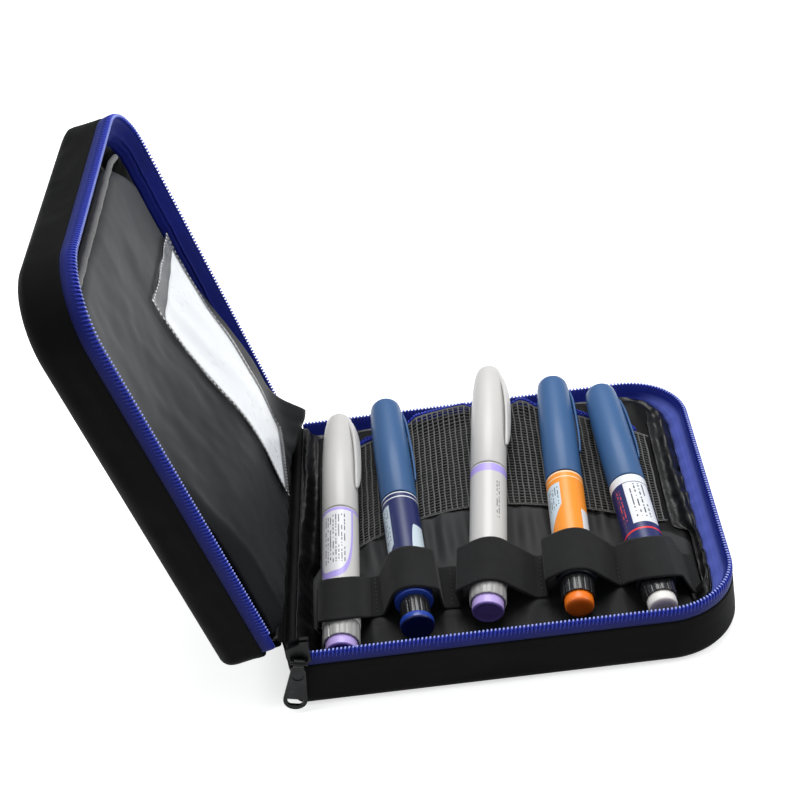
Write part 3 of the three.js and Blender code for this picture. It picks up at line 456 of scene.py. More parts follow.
def pen_matrix(pen):
    tilt, swing = math.radians(pen["tilt"]), math.radians(pen["swing"])
    return Matrix.Translation(pen["at"]) @ Matrix.Rotation(-swing, 4, "Z") @ Matrix.Rotation(tilt, 4, "X")


def pen_centre(pen, y):
    """Where a pen's axis passes at a place along Y: its x and its z."""
    axis = pen_axis(pen)
    along = (y - pen["at"][1]) / axis[1]
    return pen["at"][0] + axis[0] * along, pen["at"][2] + axis[2] * along


def pen_centres(y):
    return [pen_centre(pen, y) for pen in PENS]


def resting_height(x, y):
    """The crowned surface that all the pens lie on."""
    x, y = np.broadcast_arrays(np.asarray(x, float), np.asarray(y, float))
    lines = [
        (cx, cz - (PEN_RADIUS + PEN_SEAT) / math.cos(math.radians(pen["tilt"])))
        for pen, (cx, cz) in zip(PENS, pen_centres(y))
    ]
    lines = [(0 * x - WIDTH / 2, lines[0][1] - 1), *lines, (0 * x + WIDTH / 2, lines[-1][1] - 1)]
    height = lines[0][1].copy()
    for (ax, az), (bx, bz) in zip(lines, lines[1:]):
        share = (x - ax) / (bx - ax)
        height = np.where(x >= ax, az + (bz - az) * share, height)
    rear = DEPTH / 2 - PAD_INSET
    return height - 6 * np.maximum(0, (y - (rear - 13)) / 13) ** 2


def pad_dip(x, y):
    """How far the pad sinks beside the free wall, behind the strap."""
    return 3.5 * smooth((x - 75) / 11) * smooth((y + 25) / 12)


def flat_size(points):
    """A sheet's flat size from its grid of points: its width and length in metres, and its area."""
    points = np.asarray(points, float) * MM
    along = np.linalg.norm(np.diff(points, axis=1), axis=-1).sum(1).max()
    down = np.linalg.norm(np.diff(points, axis=0), axis=-1).sum(0).max()
    across = np.cross(points[1:, 1:] - points[:-1, :-1], points[1:, :-1] - points[:-1, 1:])
    area = float(np.linalg.norm(across, axis=-1).sum() / 2)
    return dict(flat=(float(along), float(down)), area=min(area, float(along * down)))


def lid_pad_height(x, y):
    """Height of the lid's panel over its outer face, in the lid's own tray, where the back is negative."""
    from_hinge = x + WIDTH / 2
    slope = smooth((from_hinge - 45) / 90)
    crown = 4 * np.exp(-(((from_hinge - 42) / 45) ** 2))
    rear = smooth((-y - 30) / 50)
    ridge = np.exp(-(((from_hinge - 9) / 13) ** 2)) * (2 + 14 * rear)
    return mix(LID + 1, LID - 11.5, slope) + crown + ridge - 5 * rear * (1 - slope)


def pad_plan(u, v, free, corner):
    """The pads' plan: straight at the hinge, round at the free corners, with an inset at the free side."""
    low, high = -DEPTH / 2 + PAD_INSET, DEPTH / 2 - PAD_INSET
    y = mix(low, high, v)
    near = np.clip(np.minimum(y - low, high - y), 0, corner)
    cut = corner - np.sqrt(corner**2 - (corner - near) ** 2)
    return mix(-WIDTH / 2 + 6.2, WIDTH / 2 - free - cut, u), y


# Shading


class Wire:
    """A node's output. Sums, products and comparisons of wires become Math nodes."""

    def __init__(self, look, socket):
        self.look, self.socket = look, socket

    def math(self, kind, *others):
        return self.look.math(kind, self, *others)

    def __add__(self, other):
        return self.math("ADD", other)

    def __sub__(self, other):
        return self.math("SUBTRACT", other)

    def __rsub__(self, other):
        return self.look.math("SUBTRACT", other, self)

    def __mul__(self, other):
        return self.math("MULTIPLY", other)

    def __truediv__(self, other):
        return self.math("DIVIDE", other)

    def __pow__(self, other):
        return self.math("POWER", other)

    __radd__ = __add__
    __rmul__ = __mul__

    def wave(self, pitch):
        """Rises and falls between 0 and 1 once in each pitch."""
        return (self * (TURN / pitch)).math("SINE") * 0.5 + 0.5

    def fract(self):
        return self.math("FRACT")

    def size(self):
        return self.math("ABSOLUTE")

    def most(self, other):
        return self.math("MAXIMUM", other)

    def over(self, edge, soft=0.05):
        """0 below the edge and 1 above it."""
        return self.look.ramp(self, edge - soft / 2, edge + soft / 2)

    def between(self, low, high, soft=0.05):
        return self.over(low, soft) * (1.0 - self.over(high, soft))


class Look:
    """A procedural material: a Principled shader and the wires that feed it."""

    def __init__(self, name, colour, **values):
        self.material = bpy.data.materials.new(name)
        self.material.use_nodes = True
        self.tree = self.material.node_tree
        self.shader = self.tree.nodes["Principled BSDF"]
        self.material.diffuse_color = (*colour, 1)
        self.set("Base Color", colour)
        for key, value in values.items():
            self.set(key.replace("_", " ").title().replace("Ior", "IOR"), value)

    def put(self, socket, value):
        if isinstance(value, Wire):
            self.tree.links.new(value.socket, socket)
        elif isinstance(value, tuple) and len(value) == 3 and socket.type == "RGBA":
            socket.default_value = (*value, 1)
        else:
            socket.default_value = value

    def set(self, name, value):
        self.put(self.shader.inputs[name], value)
        return self

    def node(self, kind, inputs=(), output=0, **settings):
        """Any node, with its inputs by name or number."""
        made = self.tree.nodes.new(kind)
        for key, value in settings.items():
            setattr(made, key, value)
        for key, value in dict(inputs).items():
            self.put(made.inputs[key], value)
        return Wire(self, made.outputs[output])

    def math(self, kind, *values):
        return self.node("ShaderNodeMath", dict(enumerate(values)), operation=kind)

    def ramp(self, value, low, high):
        """Goes softly from 0 at low to 1 at high."""
        inputs = {"Value": value, "From Min": low, "From Max": high, "To Min": 0.0, "To Max": 1.0}
        return self.node("ShaderNodeMapRange", inputs, interpolation_type="SMOOTHSTEP")

    def blend(self, a, b, share):
        inputs = {"Factor": share, 6: a, 7: b}
        return self.node("ShaderNodeMix", inputs, output=2, data_type="RGBA")

    def colour(self):
        """The wire that feeds the base colour so far."""
        return Wire(self, self.shader.inputs["Base Color"].links[0].from_socket)

    def cloth_place(self):
        """The place on the cloth in millimetres, as two wires."""
        spot = self.node("ShaderNodeTexCoord", output=2)
        return [self.node("ShaderNodeSeparateXYZ", {0: spot}, output=i) for i in range(2)]

    def place(self):
        return self.node("ShaderNodeTexCoord", output=3)

    def noise(self, scale, detail=2.0, stretch=None):
        """Noise over the object. scale is in lumps for each metre."""
        spot = self.place()
        if stretch:
            spot = self.node("ShaderNodeVectorMath", {0: spot, 1: stretch}, operation="MULTIPLY")
        return self.node("ShaderNodeTexNoise", {"Vector": spot, "Scale": scale, "Detail": detail})

    def bump(self, height, distance, strength=1.0):
        """distance is the bump's real height in millimetres."""
        inputs = {"Height": height, "Distance": distance * MM, "Strength": strength}
        return self.set("Normal", self.node("ShaderNodeBump", inputs))


def weave(look, pitch):
    """A plain weave over the cloth: the thread's height from 0 to 1."""
    warp, weft = ((place * (TURN / pitch)).math("SINE") for place in look.cloth_place())
    return (warp * weft) * 0.5 + 0.5


def nylon(name, colour, pitch=0.9, shine=0.15, rough=0.55, crease=0.5):
    """Woven nylon cloth with soft creases and a faint sheen."""
    look = Look(name, colour, sheen_weight=0.025, sheen_roughness=0.4, specular_ior_level=shine)
    threads = weave(look, pitch)
    creases = look.noise(55, 5.0)
    cloudy = look.noise(18, 3.0)
    light = tuple(min(1.0, c * 1.7 + 0.001) for c in colour)
    look.set("Base Color", look.blend(colour, light, threads * 0.2 + cloudy * 0.5))
    look.set("Roughness", cloudy * 0.22 + threads * -0.05 + (rough - 0.05))
    return look.bump(threads * 0.03 + creases * crease, 1.0, 0.8)


def tape_look(blue):
    """Woven zip tape: a diagonal weave and a satin sheen where it is seen from the side, with painted shade down
    towards the hem and a painted sheen on the inner slope along the free side.
    """
    look = Look("zip_tape_blue", blue, sheen_weight=0.5, sheen_roughness=0.3, specular_ior_level=0.15)
    look.set("Sheen Tint", (0.3, 0.4, 1.0))
    u, v = look.cloth_place()
    twill, rows = (u + v * 0.8).wave(1.3), v.wave(1.1)
    worn = look.noise(70, 4.0)
    shade = look.blend(tuple(c * 0.35 for c in blue), blue, twill * 0.35 + worn * 0.65)
    # painted shade: the outer band darkens to near black down towards its hem, where it turns under
    hem = look.ramp(v, 1.0, 9.0)
    # painted sheen: along the free side the inner slope is lightened towards pale periwinkle
    free_side = look.ramp(look.node("ShaderNodeSeparateXYZ", {0: look.place()}), 0.078, 0.094)
    painted_sheen = free_side * v.over(14.5, 3.0) * (twill * 0.2 + 0.6)
    shade = look.blend(look.blend((0.0008, 0.0015, 0.03), shade, hem), (0.12, 0.16, 0.58), painted_sheen)
    look.set("Base Color", shade).set("Roughness", worn * 0.25 + 0.45)
    return look.bump(twill * 0.4 + rows * 0.2 + worn * 0.3, 0.2)


def teeth_look():
    """Nylon coil, with a painted highlight on the top of each turn and painted shade lower down it."""
    look = Look("zip_teeth_blue", (0.03, 0.05, 0.45), specular_ior_level=0.3)
    _, height = look.cloth_place()
    worn = look.noise(160, 2.0)
    # painted highlight: the top of each turn is lightened to pale blue, its strength varied by the noise
    top = height.over(0.93, 0.12) * (worn * 0.4 + 0.55)
    # painted shade: each turn darkens from its middle down towards the foot of its leg
    leg = look.blend((0.003, 0.008, 0.13), (0.02, 0.042, 0.46), height.over(0.45, 0.8))
    look.set("Base Color", look.blend(leg, (0.45, 0.53, 1.0), top)).set("Roughness", worn * 0.2 + 0.35)
    return look.bump(worn, 0.08)


def liner_look():
    """Thin coated lining with sharp wrinkles that shine."""
    look = Look("liner_black", (0.004, 0.004, 0.0045), specular_ior_level=0.38)
    fine = look.noise(120, 6.0)
    long = look.noise(45, 4.0, (1.0, 1.0, 0.35))
    look.set("Roughness", fine * 0.3 + 0.24)
    look.set("Base Color", look.blend((0.0015, 0.0015, 0.0018), (0.006, 0.006, 0.0065), long))
    return look.bump(long * 0.8 + fine * 0.4, 1.6)


def elastic_look():
    """Knitted elastic: fine ribs along its length."""
    look = Look("elastic_black", (0.013, 0.013, 0.0135), sheen_weight=0.08, sheen_roughness=0.5,
                specular_ior_level=0.12)
    ribs = look.cloth_place()[1].wave(1.0)
    fuzz = look.noise(220, 4.0)
    cloudy = look.noise(30, 3.0)
    worn = ribs * 0.12 + fuzz * 0.4 + cloudy * 0.4
    shade = look.blend((0.008, 0.0082, 0.0085), (0.024, 0.0242, 0.025), worn)
    look.set("Base Color", shade).set("Roughness", fuzz * 0.2 + 0.7)
    return look.bump(ribs * 0.2 + fuzz * 0.5, 0.1)


def thread_look(name, colour, rough=0.5):
    """Twisted yarn, for the net and the stitches."""
    look = Look(name, colour, sheen_weight=0.2)
    twist = look.noise(900, 2.0)
    light = tuple(min(1.0, c * 2.2) for c in colour)
    look.set("Base Color", look.blend(colour, light, twist)).set("Roughness", twist * 0.3 + rough)
    return look.bump(twist, 0.08)


def plastic(name, colour, rough=0.28, coat=0.0, end=None, collar=None):
    """Moulded plastic: faint flow marks and fine scratches in its gloss. On a turned piece, end is the colour
    of the face at its front, which is painted shade, and collar that of a barrel's front collar, with a dark line round
    it."""
    look = Look(name, colour, coat_roughness=0.15, specular_ior_level=0.45)
    marks = look.noise(35, 3.0)
    scratches = look.noise(400, 3.0, (1.0, 0.06, 1.0))
    shade = look.blend(tuple(c * 0.9 for c in colour), colour, marks * 0.8 + 0.3)
    _, along = look.cloth_place()
    if end:
        # painted shade: a button's front face takes the darker end colour
        shade = look.blend(end, shade, along.over(0.9, 0.5))
    if collar:
        shade = look.blend(collar, shade, along.over(21.8, 0.1))
        shade = look.blend(shade, (0.01, 0.012, 0.03), along.between(16.3, 16.9, 0.1))
    look.set("Base Color", shade)
    look.set("Roughness", marks * 0.1 + scratches * 0.1 + (rough - 0.1))
    look.set("Coat Weight", marks * 0.2 + coat)
    return look.bump(marks * 0.4 + scratches * 0.15, 0.06)


def metal_look():
    """Black lacquered zinc with its edges and flats rubbed."""
    look = Look("black_lacquer", (0.015, 0.016, 0.018), specular_ior_level=0.2)
    worn = look.noise(90, 5.0)
    pits = look.noise(600, 2.0)
    rub = worn.over(0.62, 0.2)
    look.set("Base Color", look.blend((0.005, 0.0053, 0.006), (0.03, 0.031, 0.034), rub))
    look.set("Roughness", worn * 0.2 + 0.32).set("Metallic", rub * 0.3 + 0.1)
    return look.bump(pits * 0.3 + worn, 0.08)


# Pieces


def dress(made, look, body, slot, *nodes):
    """Gives a piece its material, body, record slot and the CAD nodes that it stands for."""
    made.data.materials.clear()
    made.data.materials.append(look.material if isinstance(look, Look) else look)
    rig.ride(made, body)
    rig.slot(made, slot)
    if nodes:
        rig.replaces(made, *nodes)
    return made


# The cloth along the hinge lies this far out of its wall: inward, so that base and lid lie flat side by side
HINGE_RELIEF = -0.3


def shell_half(name, height, edge, matrix, slack):
    """The outer fabric: hem, wall, round edge and panel, with the dents of soft cloth."""
    rim = Rim(2.2)
    top = height - 8.8
    hem = [(1.4, top - 3), (1.2, top), (0.8, top + 0.35), (0.35, top + 0.2), (0.05, top - 0.4),
           (0, top - 1.4)]
    wall = [(0, z) for z in np.linspace(top - 2.2, edge + 0.5, round((top - 2.7 - edge) / 1.8) + 1)]
    turns = np.linspace(0, math.pi / 2, 8)
    fillet = [(edge * (1 - math.cos(t)), edge * (1 - math.sin(t))) for t in turns]
    insets = [edge + more for more in (1.5, 4, 8, 14, 20)] + [*range(32, 91, 6), DEPTH / 2]
    profile = hem + wall + fillet + [(inset, 0.0) for inset in insets]
    rows, v, run = [], [], 0.0
    for i, (inset, z) in enumerate(profile):
        if inset <= CORNER - 0.3:
            rows.append(rim.at(inset, z))
        else:
            rows.append(np.column_stack([rim.ring(inset), np.full(len(rim.s) - 1, z)]))
        run += 0 if not i else math.dist(profile[i - 1], profile[i])
        v.append(run)
    points = np.array(rows)
    z = np.array([p[1] for p in profile])[:, None]
    insets = np.array([p[0] for p in profile])[:, None]
    out = np.concatenate([-rim.inward(), np.zeros((len(rim.s) - 1, 1))], 1)[None]
    on_wall = smooth((top - 1.5 - z) / 4) * smooth((z - edge * 0.4) / 3) * (insets < 1)
    soft = lumps(points, (38, 38, 16), 3.1) * 0.7 + lumps(points, (14, 14, 30), 8.2) * 0.3
    stand = np.where(rim.has_zip, slack * (soft + 0.25), HINGE_RELIEF)
    points = points + out * (on_wall * stand)[..., None]
    flat = (insets > edge + 3) * smooth((insets - edge - 3) / 12)
    if slack > 0.9:
        points[..., 2] += -flat * slack * (lumps(points, (60, 60, 60), 5.5) * 0.8 - 0.2)
    return surface(name, points, rim.s[None], np.array(v)[:, None], True, matrix, flip=True)


def tape_rows(height, flare, leg_drop):
    """The tape's section: hem, outer band, top, inner slope and leg."""
    leg_in = LEG + FREE_LEAN * flare
    low = height - TAPE_DROP - FREE_DROP * flare
    z_leg = height - 7.7
    fixed = [
        (1.5, -11.0), (1.25, -9.6), (0.75, -8.9), (0.42, -8.2), (0.25, -7.2), (0.15, -6.0), (0.2, -4.6),
        (0.32, -3.3), (0.5, -2.7),
        (0.95, -2.35), (1.5, -2.25), (2.1, -2.4), (2.8, -3.1), (3.5, -4.4), (4.2, -5.9), (4.75, -7.0),
    ]
    rows = [(inset + 0 * flare, height + drop + 0 * flare) for inset, drop in fixed]
    for share in np.linspace(0, 1, 6):
        sag = 0.5 * math.sin(math.pi * share)
        rows.append((mix(LEG, leg_in, share) + sag, mix(z_leg, low, share)))
    if leg_drop:
        rows.append((leg_in + 0.9, low - 0.6))
        rows += [(leg_in + 0.5 + 1.2 * share, low - 0.6 - leg_drop * share) for share in (0.3, 0.65, 1.0)]
    return rows


def zip_tape(name, height, matrix, leg_drop):
    rim = Rim(1.6)
    rows = tape_rows(height, rim.flare[rim.zipped], leg_drop)
    points = np.array([rim.at_zip(inset, z) for inset, z in rows])
    steps = np.linalg.norm(np.diff(points, axis=0), axis=2).mean(1)
    v = np.r_[0.0, np.cumsum(steps)]
    sway = lumps(points, (24, 24, 10), 2.2) * 0.35
    inner = smooth((np.arange(len(rows)) - 11) / 6)[:, None]
    s, flare = rim.s[rim.zipped], rim.flare[rim.zipped]
    scallop = np.sin(s * TURN / 12 + 5 * lumps(points[0], (30, 30, 30), 1.1, 1))
    last = smooth((np.arange(len(rows)) - 15) / 6)[:, None]
    points[..., 2] += sway * inner + scallop * last * (0.15 + 0.75 * flare)
    made = surface(name, points, s[None], v[:, None], False, matrix)
    return thicken(made, 0.5)


def zip_teeth(name, height, matrix, pitch, start):
    """The coil on the tape's edge. Each turn comes up inside, bends into a head and slants down outside."""
    rim = Rim(1.0)
    line = rim.at(0.0, height)[rim.zipped]
    inward = np.column_stack([rim.inward(), np.zeros(len(rim.s) - 1)])[rim.zipped]
    s = rim.s[rim.zipped] - rim.s[rim.zipped][0]
    spots = np.arange(start, s[-1] - start, pitch)
    centre = np.stack([np.interp(spots, s, line[:, i]) for i in range(3)], 1)
    across = np.stack([np.interp(spots, s, inward[:, i]) for i in range(3)], 1)
    across /= np.linalg.norm(across, axis=1, keepdims=True)
    along = np.stack([-across[:, 1], across[:, 0], across[:, 2]], 1)
    path = [(-0.35, 2.5, -2.7), (-0.2, 2.1, -2.0), (0.0, 1.6, -1.6), (0.1, 1.0, -1.65), (0.3, 0.55, -2.3),
            (0.55, 0.32, -3.3), (0.85, 0.3, -4.9)]
    turn, turn_faces = tube(path, np.array([0.36, 0.42, 0.5, 0.5, 0.38, 0.34, 0.28]), 7)
    heights = (turn[:, 2] + 5.2) / (turn[:, 2].max() + 5.2)
    points, faces, uvs = [], [], []
    for i in range(len(spots)):
        at = centre[i] + turn[:, :1] * along[i] + turn[:, 1:2] * across[i]
        at[:, 2] += turn[:, 2]
        points.append(at)
        faces += [[i * len(turn) + k for k in face] for face in turn_faces]
        uvs += [(spots[i], heights[k]) for face in turn_faces for k in face]
    return mesh_object(name, np.concatenate(points), faces, uvs, matrix)


def base_liner():
    """The lining inside the base's walls: gathered, wavy at the tape, and wide over the pad's free side."""
    rim = Rim(1.5)
    flare, s, soft_zip = rim.flare, rim.s[:-1], rim.soft_zip()
    hinge = 1 - soft_zip
    ground = rim.at(9.0, 0)
    wave = np.sin(s * TURN / 15 + 4 * lumps(ground, (22, 22, 22), 4.4)) + lumps(ground, (7, 7, 7), 2.9)
    low_tape = BASE - TAPE_DROP - FREE_DROP * flare
    top_z = mix(BASE - 1.0, low_tape + 1.6 + wave * (0.25 + 0.9 * flare), soft_zip)
    top_in = mix(INNER + 0.2, LEG + 4.2 * flare + 0.9, soft_zip)
    by_strap = smooth((ground[:, 1] + 64) / 7) * smooth((-17 - ground[:, 1]) / 7)
    end_in = mix(8.6 + (12.6 - 7.6 * by_strap) * flare, 13.3 - 3.6 * by_strap, hinge)
    spot = rim.at(end_in, 0)
    over_pad = np.maximum(flare, hinge)
    end_z = resting_height(spot[:, 0], spot[:, 1]) - pad_dip(spot[:, 0], spot[:, 1]) - mix(3.0, 0.8, over_pad)
    rows = []
    for share in np.linspace(0, 1, 30):
        bulge = math.sin(math.pi * share) ** 0.8
        z = mix(top_z, end_z, share ** mix(1.0, 0.6, flare))
        inset = mix(top_in, end_in, share**1.3) + bulge * 0.5
        at = rim.at(inset, z)
        fold = np.sin(s * TURN / 9 + 5 * lumps(at, (26, 26, 60), 1.3, 1))
        fold = fold * (0.18 + 0.12 * flare + 0.1 * hinge)
        fold = fold + lumps(at, (12, 16, 16), 6.1) * (0.5 + 0.5 * over_pad)
        ridge = np.sin(TURN * (1.15 * share + 0.25 * lumps(at, (50, 60, 30), 5.2, 1))) * 1.5 * over_pad
        z = z + (ridge + 0.8 * over_pad) * math.sin(math.pi * share)
        rows.append(rim.at(inset + fold * (0.25 + 0.75 * bulge) * (1 - 0.5 * share), z))
    rows = np.array(rows)
    made = surface("base_liner", rows, rim.s[None], np.arange(30)[:, None] * 0.7, True)
    return thicken(made, 0.4), flat_size(rows)


def lid_liner():
    """The lining inside the lid's walls, from the tape down behind the panel and onto the lid's floor."""
    rim = Rim(2.0)
    soft_zip = rim.soft_zip()
    top_z = mix(LID - 1.0, LID - TAPE_DROP - LID_SKIRT - FREE_DROP * rim.flare, soft_zip)
    wall = mix(INNER + 0.2, LEG + FREE_LEAN * rim.flare + 1.4, soft_zip)
    rows = []
    for share in np.linspace(0, 1, 12):
        inset = wall + 2.5 * share
        z = mix(top_z, LID_FLOOR, share)
        at = rim.at(inset, z)
        rows.append(rim.at(inset + lumps(at, (12, 12, 20), 2.7) * 0.9 * math.sin(math.pi * share), z))
    for share in np.linspace(0.15, 1, 7):
        at = rim.at(mix(wall + 2.5, 31.0, share), INNER + 1.3)
        at[:, 2] += lumps(at, (12, 12, 20), 4.7) * 0.6
        rows.append(at)
    rows = np.array(rows)
    made = surface("lid_liner", rows, rim.s[None], np.arange(len(rows))[:, None] * 1.6, True, lid_matrix())
    return thicken(made, 0.4), flat_size(rows)


def pad_grid(columns, rows, free, corner):
    """A pad's grid of places, and how far each lies from the pad's edge."""
    u = np.linspace(0, 1, columns)
    v = np.linspace(0, 1, rows)
    x, y = np.broadcast_arrays(*pad_plan(u[None, :], v[:, None], free, corner))
    edge = np.minimum.reduce([x - x[:, :1], x[:, -1:] - x, y - y[0], y[-1] - y])
    return x, y, edge


def pen_pad():
    """The padded nylon that the pens lie on, pleated in front of the net and ridged between the pens."""
    x, y, edge = pad_grid(170, 150, 13.0, 22.0)
    z = resting_height(x, y) - 1.6 - pad_dip(x, y)
    at = np.stack([x, y, 0 * x], -1)
    folds = lumps(at, (11, 42, 10), 7.7, 3) * 0.8 + lumps(at, (30, 22, 10), 1.9) * 0.5
    near_net = np.exp(-(((y + 8) / 15) ** 2))
    pleats = np.sin(x * TURN / 9.5 + 3 * lumps(at, (30, 60, 10), 3.3, 1)) * near_net * 0.75
    ridge = np.zeros_like(x)
    for (cx, _), (dx, _) in zip(pen_centres(y), pen_centres(y)[1:]):
        ridge = np.maximum(ridge, np.exp(-(((x - (cx + dx) / 2) / 7) ** 2)))
    flat = 1 - smooth((y + 60) / 4) * smooth((-22 - y) / 6)
    z = z + ((folds + pleats) * flat + ridge * 0.7) * smooth(edge / 8)
    z = z - 3.2 * (1 - np.clip(edge / 3.5, 0, 1)) ** 2
    made = surface("pen_pad", np.stack([x, y, z], -1), x, y)
    return thicken(made, 1.2)


def lid_pad():
    """The nylon front of the lid's gel pocket, full towards the hinge and slack at its open end."""
    x, y, edge = pad_grid(130, 130, 20.0, 38.0)
    z = lid_pad_height(x, y)
    at = np.stack([x, y, 0 * x], -1)
    z = z + lid_folds(x, y) * smooth(edge / 12) + lumps(at, (16, 16, 10), 9.1) * 0.3 * smooth(edge / 12)
    hinge = np.exp(-(((x + WIDTH / 2 - 11) / 9) ** 2))
    pucker = np.sin(y * TURN / 13 + 5 * lumps(at, (20, 20, 10), 6.4, 1)) * hinge * 0.35
    tuck = np.maximum(4.5, z - LID + 3)
    z = z + pucker * smooth(edge / 4) - tuck * (1 - np.clip(edge / 8, 0, 1)) ** 2
    made = surface("lid_pad", np.stack([x, y, z], -1), x, y, False, lid_matrix())
    return thicken(made, 1.0)


def pocket_welt():
    """The bound edge at the open end of the lid's gel pocket."""
    y = np.linspace(-68, 66, 60)
    x = WIDTH / 2 - 18.5 - np.maximum(0, (-50 - y) / 10) ** 2 * 0.8
    height = lid_pad_height(x, y) + 1.2 + 0.5 * lumps(np.stack([x, y, y], -1), (9, 9, 9), 3.3)
    points, faces = tube(np.column_stack([x, y, height]), 1.4, 10)
    return mesh_object("pocket_welt", points, faces, None, lid_matrix())


def lid_folds(x, y):
    """The soft folds of the lid's panel, which the card and its window follow."""
    slope = smooth((x + WIDTH / 2 - 30) / 60) * smooth((WIDTH / 2 + 60 - x) / 60)
    return lumps(np.stack([x, y, 0 * x], -1), (55, 34, 10), 4.2, 3) * 1.5 * slope


def window_sheet(name, margin, lift, thickness, slant=0.0):
    """The card, or the film over it, lying on the lid's panel."""
    u, v = np.meshgrid(np.linspace(0, 1, 60), np.linspace(0, 1, 30))
    y = mix(mix(-47.0, -81.0, u) + margin, mix(-1.0, -14.0, u) - margin, v)
    x = mix(mix(-76.0, -87.0, v) + margin, 31.0 - margin * 2.5 - slant * v, u)
    rows = np.stack([x, y, lid_pad_height(x, y) + lift + lid_folds(x, y)], -1)
    made = surface(name, rows, u * 118.0, v * 60.0, False, lid_matrix())
    return thicken(made, thickness), flat_size(rows)


NET = dict(left=-88.0, right=80.0, peak=-8.0)


def net_front(x):
    return np.maximum(8.5 - np.where(x < -15, 0.0053, 0.0029) * (x + 15) ** 2, -15)


def net_back(x):
    return 79.5 - 33.0 * ((x - NET["peak"]) / (NET["right"] - NET["peak"])) ** 2


def net_line(x, y):
    """The net lies on the pad under the pens, and is drawn up between them along its zip."""
    x, y = np.broadcast_arrays(np.asarray(x, float), np.asarray(y, float))
    clear = np.minimum.reduce([np.abs(x - cx) for cx, _ in pen_centres(y)])
    lift = 3.2 * smooth((y - 64) / 14) * smooth((clear - 9.5) / 6)
    return np.stack([x, y, resting_height(x, y) - 0.35 + lift], -1)


def pen_net(column, rung):
    """The net: knitted strands front to back, with fine rungs between them like a ladder's."""
    xs = np.arange(NET["left"] + 1, NET["right"], column)
    parts = []
    for i, x in enumerate(xs):
        y = np.linspace(net_front(x), net_back(x), int((net_back(x) - net_front(x)) / rung) * 4 + 1)
        knots = np.arange(len(y)) % 4
        sway = 0.1 * np.sin(y * 0.37 + i * 1.3)
        parts.append(tube(net_line(x + sway, y), np.array([0.3, 0.38, 0.5, 0.38])[knots], 6))
    for x, ahead in zip(xs, xs[1:]):
        count = int((net_back(x) - net_front(x)) / rung)
        for share in (np.arange(count) + 0.5) / count:
            ends = [net_line(a, mix(net_front(a), net_back(a), share)) for a in (x, ahead)]
            parts.append(tube(ends, 0.27, 4))
    x = np.linspace(NET["left"], NET["right"], 90)
    parts.append(tube(net_line(x, net_front(x)) - (0, 0, 0.15), 0.36, 6))
    parts.append(tube(net_line(x, net_back(x)) - (0, 0, 0.15), 0.5, 6))
    points, faces = joined(parts)
    spread = np.array([net_line(x, mix(net_front(x), net_back(x), share)) for share in np.linspace(0, 1, 30)])
    return mesh_object("pen_net", points, faces), flat_size(spread)


def pocket_zip():
    """The net pocket's own zip: two tapes and the coil between them, in chevrons."""
    x = np.linspace(-70, 75, 150)
    rows = []
    for across, lift in ((0.1, -0.5), (0.4, 0.1), (1.4, 0.2), (2.9, 0.2), (4.4, 0.1), (4.8, -0.5)):
        line = net_line(x, net_back(x) + across)
        line[:, 2] += lift
        rows.append(line)
    rows = np.array(rows)
    tape = thicken(surface("pocket_zip_tape", rows, x[None], np.arange(6)[:, None] * 0.9 + 5), 0.4)
    parts = []
    for at in np.arange(-69, 74, 1.55):
        for side in (-1, 1):
            leg = [(at + along, 2.45 + side * out) for along, out in ((-0.55, 1.5), (0.15, 0.7), (0.55, 0.1))]
            line = [net_line(px, net_back(px) + across) + (0, 0, 0.6) for px, across in leg]
            parts.append(tube(line, np.array([0.34, 0.45, 0.4]), 6))
    points, faces = joined(parts)
    uvs = [(0.0, 0.75) for face in faces for _ in face]
    return tape, mesh_object("pocket_zip_coil", points, faces, uvs)


STRAP = dict(thickness=1.3, front=-54.0, back=-28.5, radius=PEN_RADIUS + 1.15, hinge_tail=1.6, free_tail=4.5)

# One arch a row, each pair its left side before its right: how far its top leans forward and how far its feet
# do, as shares of the strap's width; then how far its feet stand from the pen's axis, and how far out and how
# high its shoulders are, as shares of its radius
ARCHES = [
    (0.76, (0.1, 0.0), (1.12, 1.25), ((1.04, 0.0), (1.06, -0.1))),
    (0.2, (0.0, 0.0), (1.45, 1.28), ((1.19, -0.32), (1.2, 0.55))),
    (0.2, (0.0, 0.0), (1.32, 2.1), ((1.42, 0.42), (1.42, -0.12))),
    (0.25, (0.0, 0.0), (1.32, 1.9), ((1.38, 0.4), (1.36, -0.16))),
    (0.74, (0.0, 0.42), (1.3, 1.7), ((1.13, -0.3), (1.26, -0.25))),
]


def strap_foot(number, side, y, tail=0.0):
    """Where an arch meets the pad on one side, for the strap's edge that is sewn down at y."""
    _, feet_lean, feet, _ = ARCHES[number]
    at = y - feet_lean[side] * (STRAP["back"] - STRAP["front"])
    cx, _ = pen_centre(PENS[number], at)
    x = cx + (1 if side else -1) * (feet[side] * STRAP["radius"] + tail)
    return x, at, float(resting_height(x, at)) - 1.3 + STRAP["thickness"] / 2


STRAP_POINTS = 460  # along each of its lines


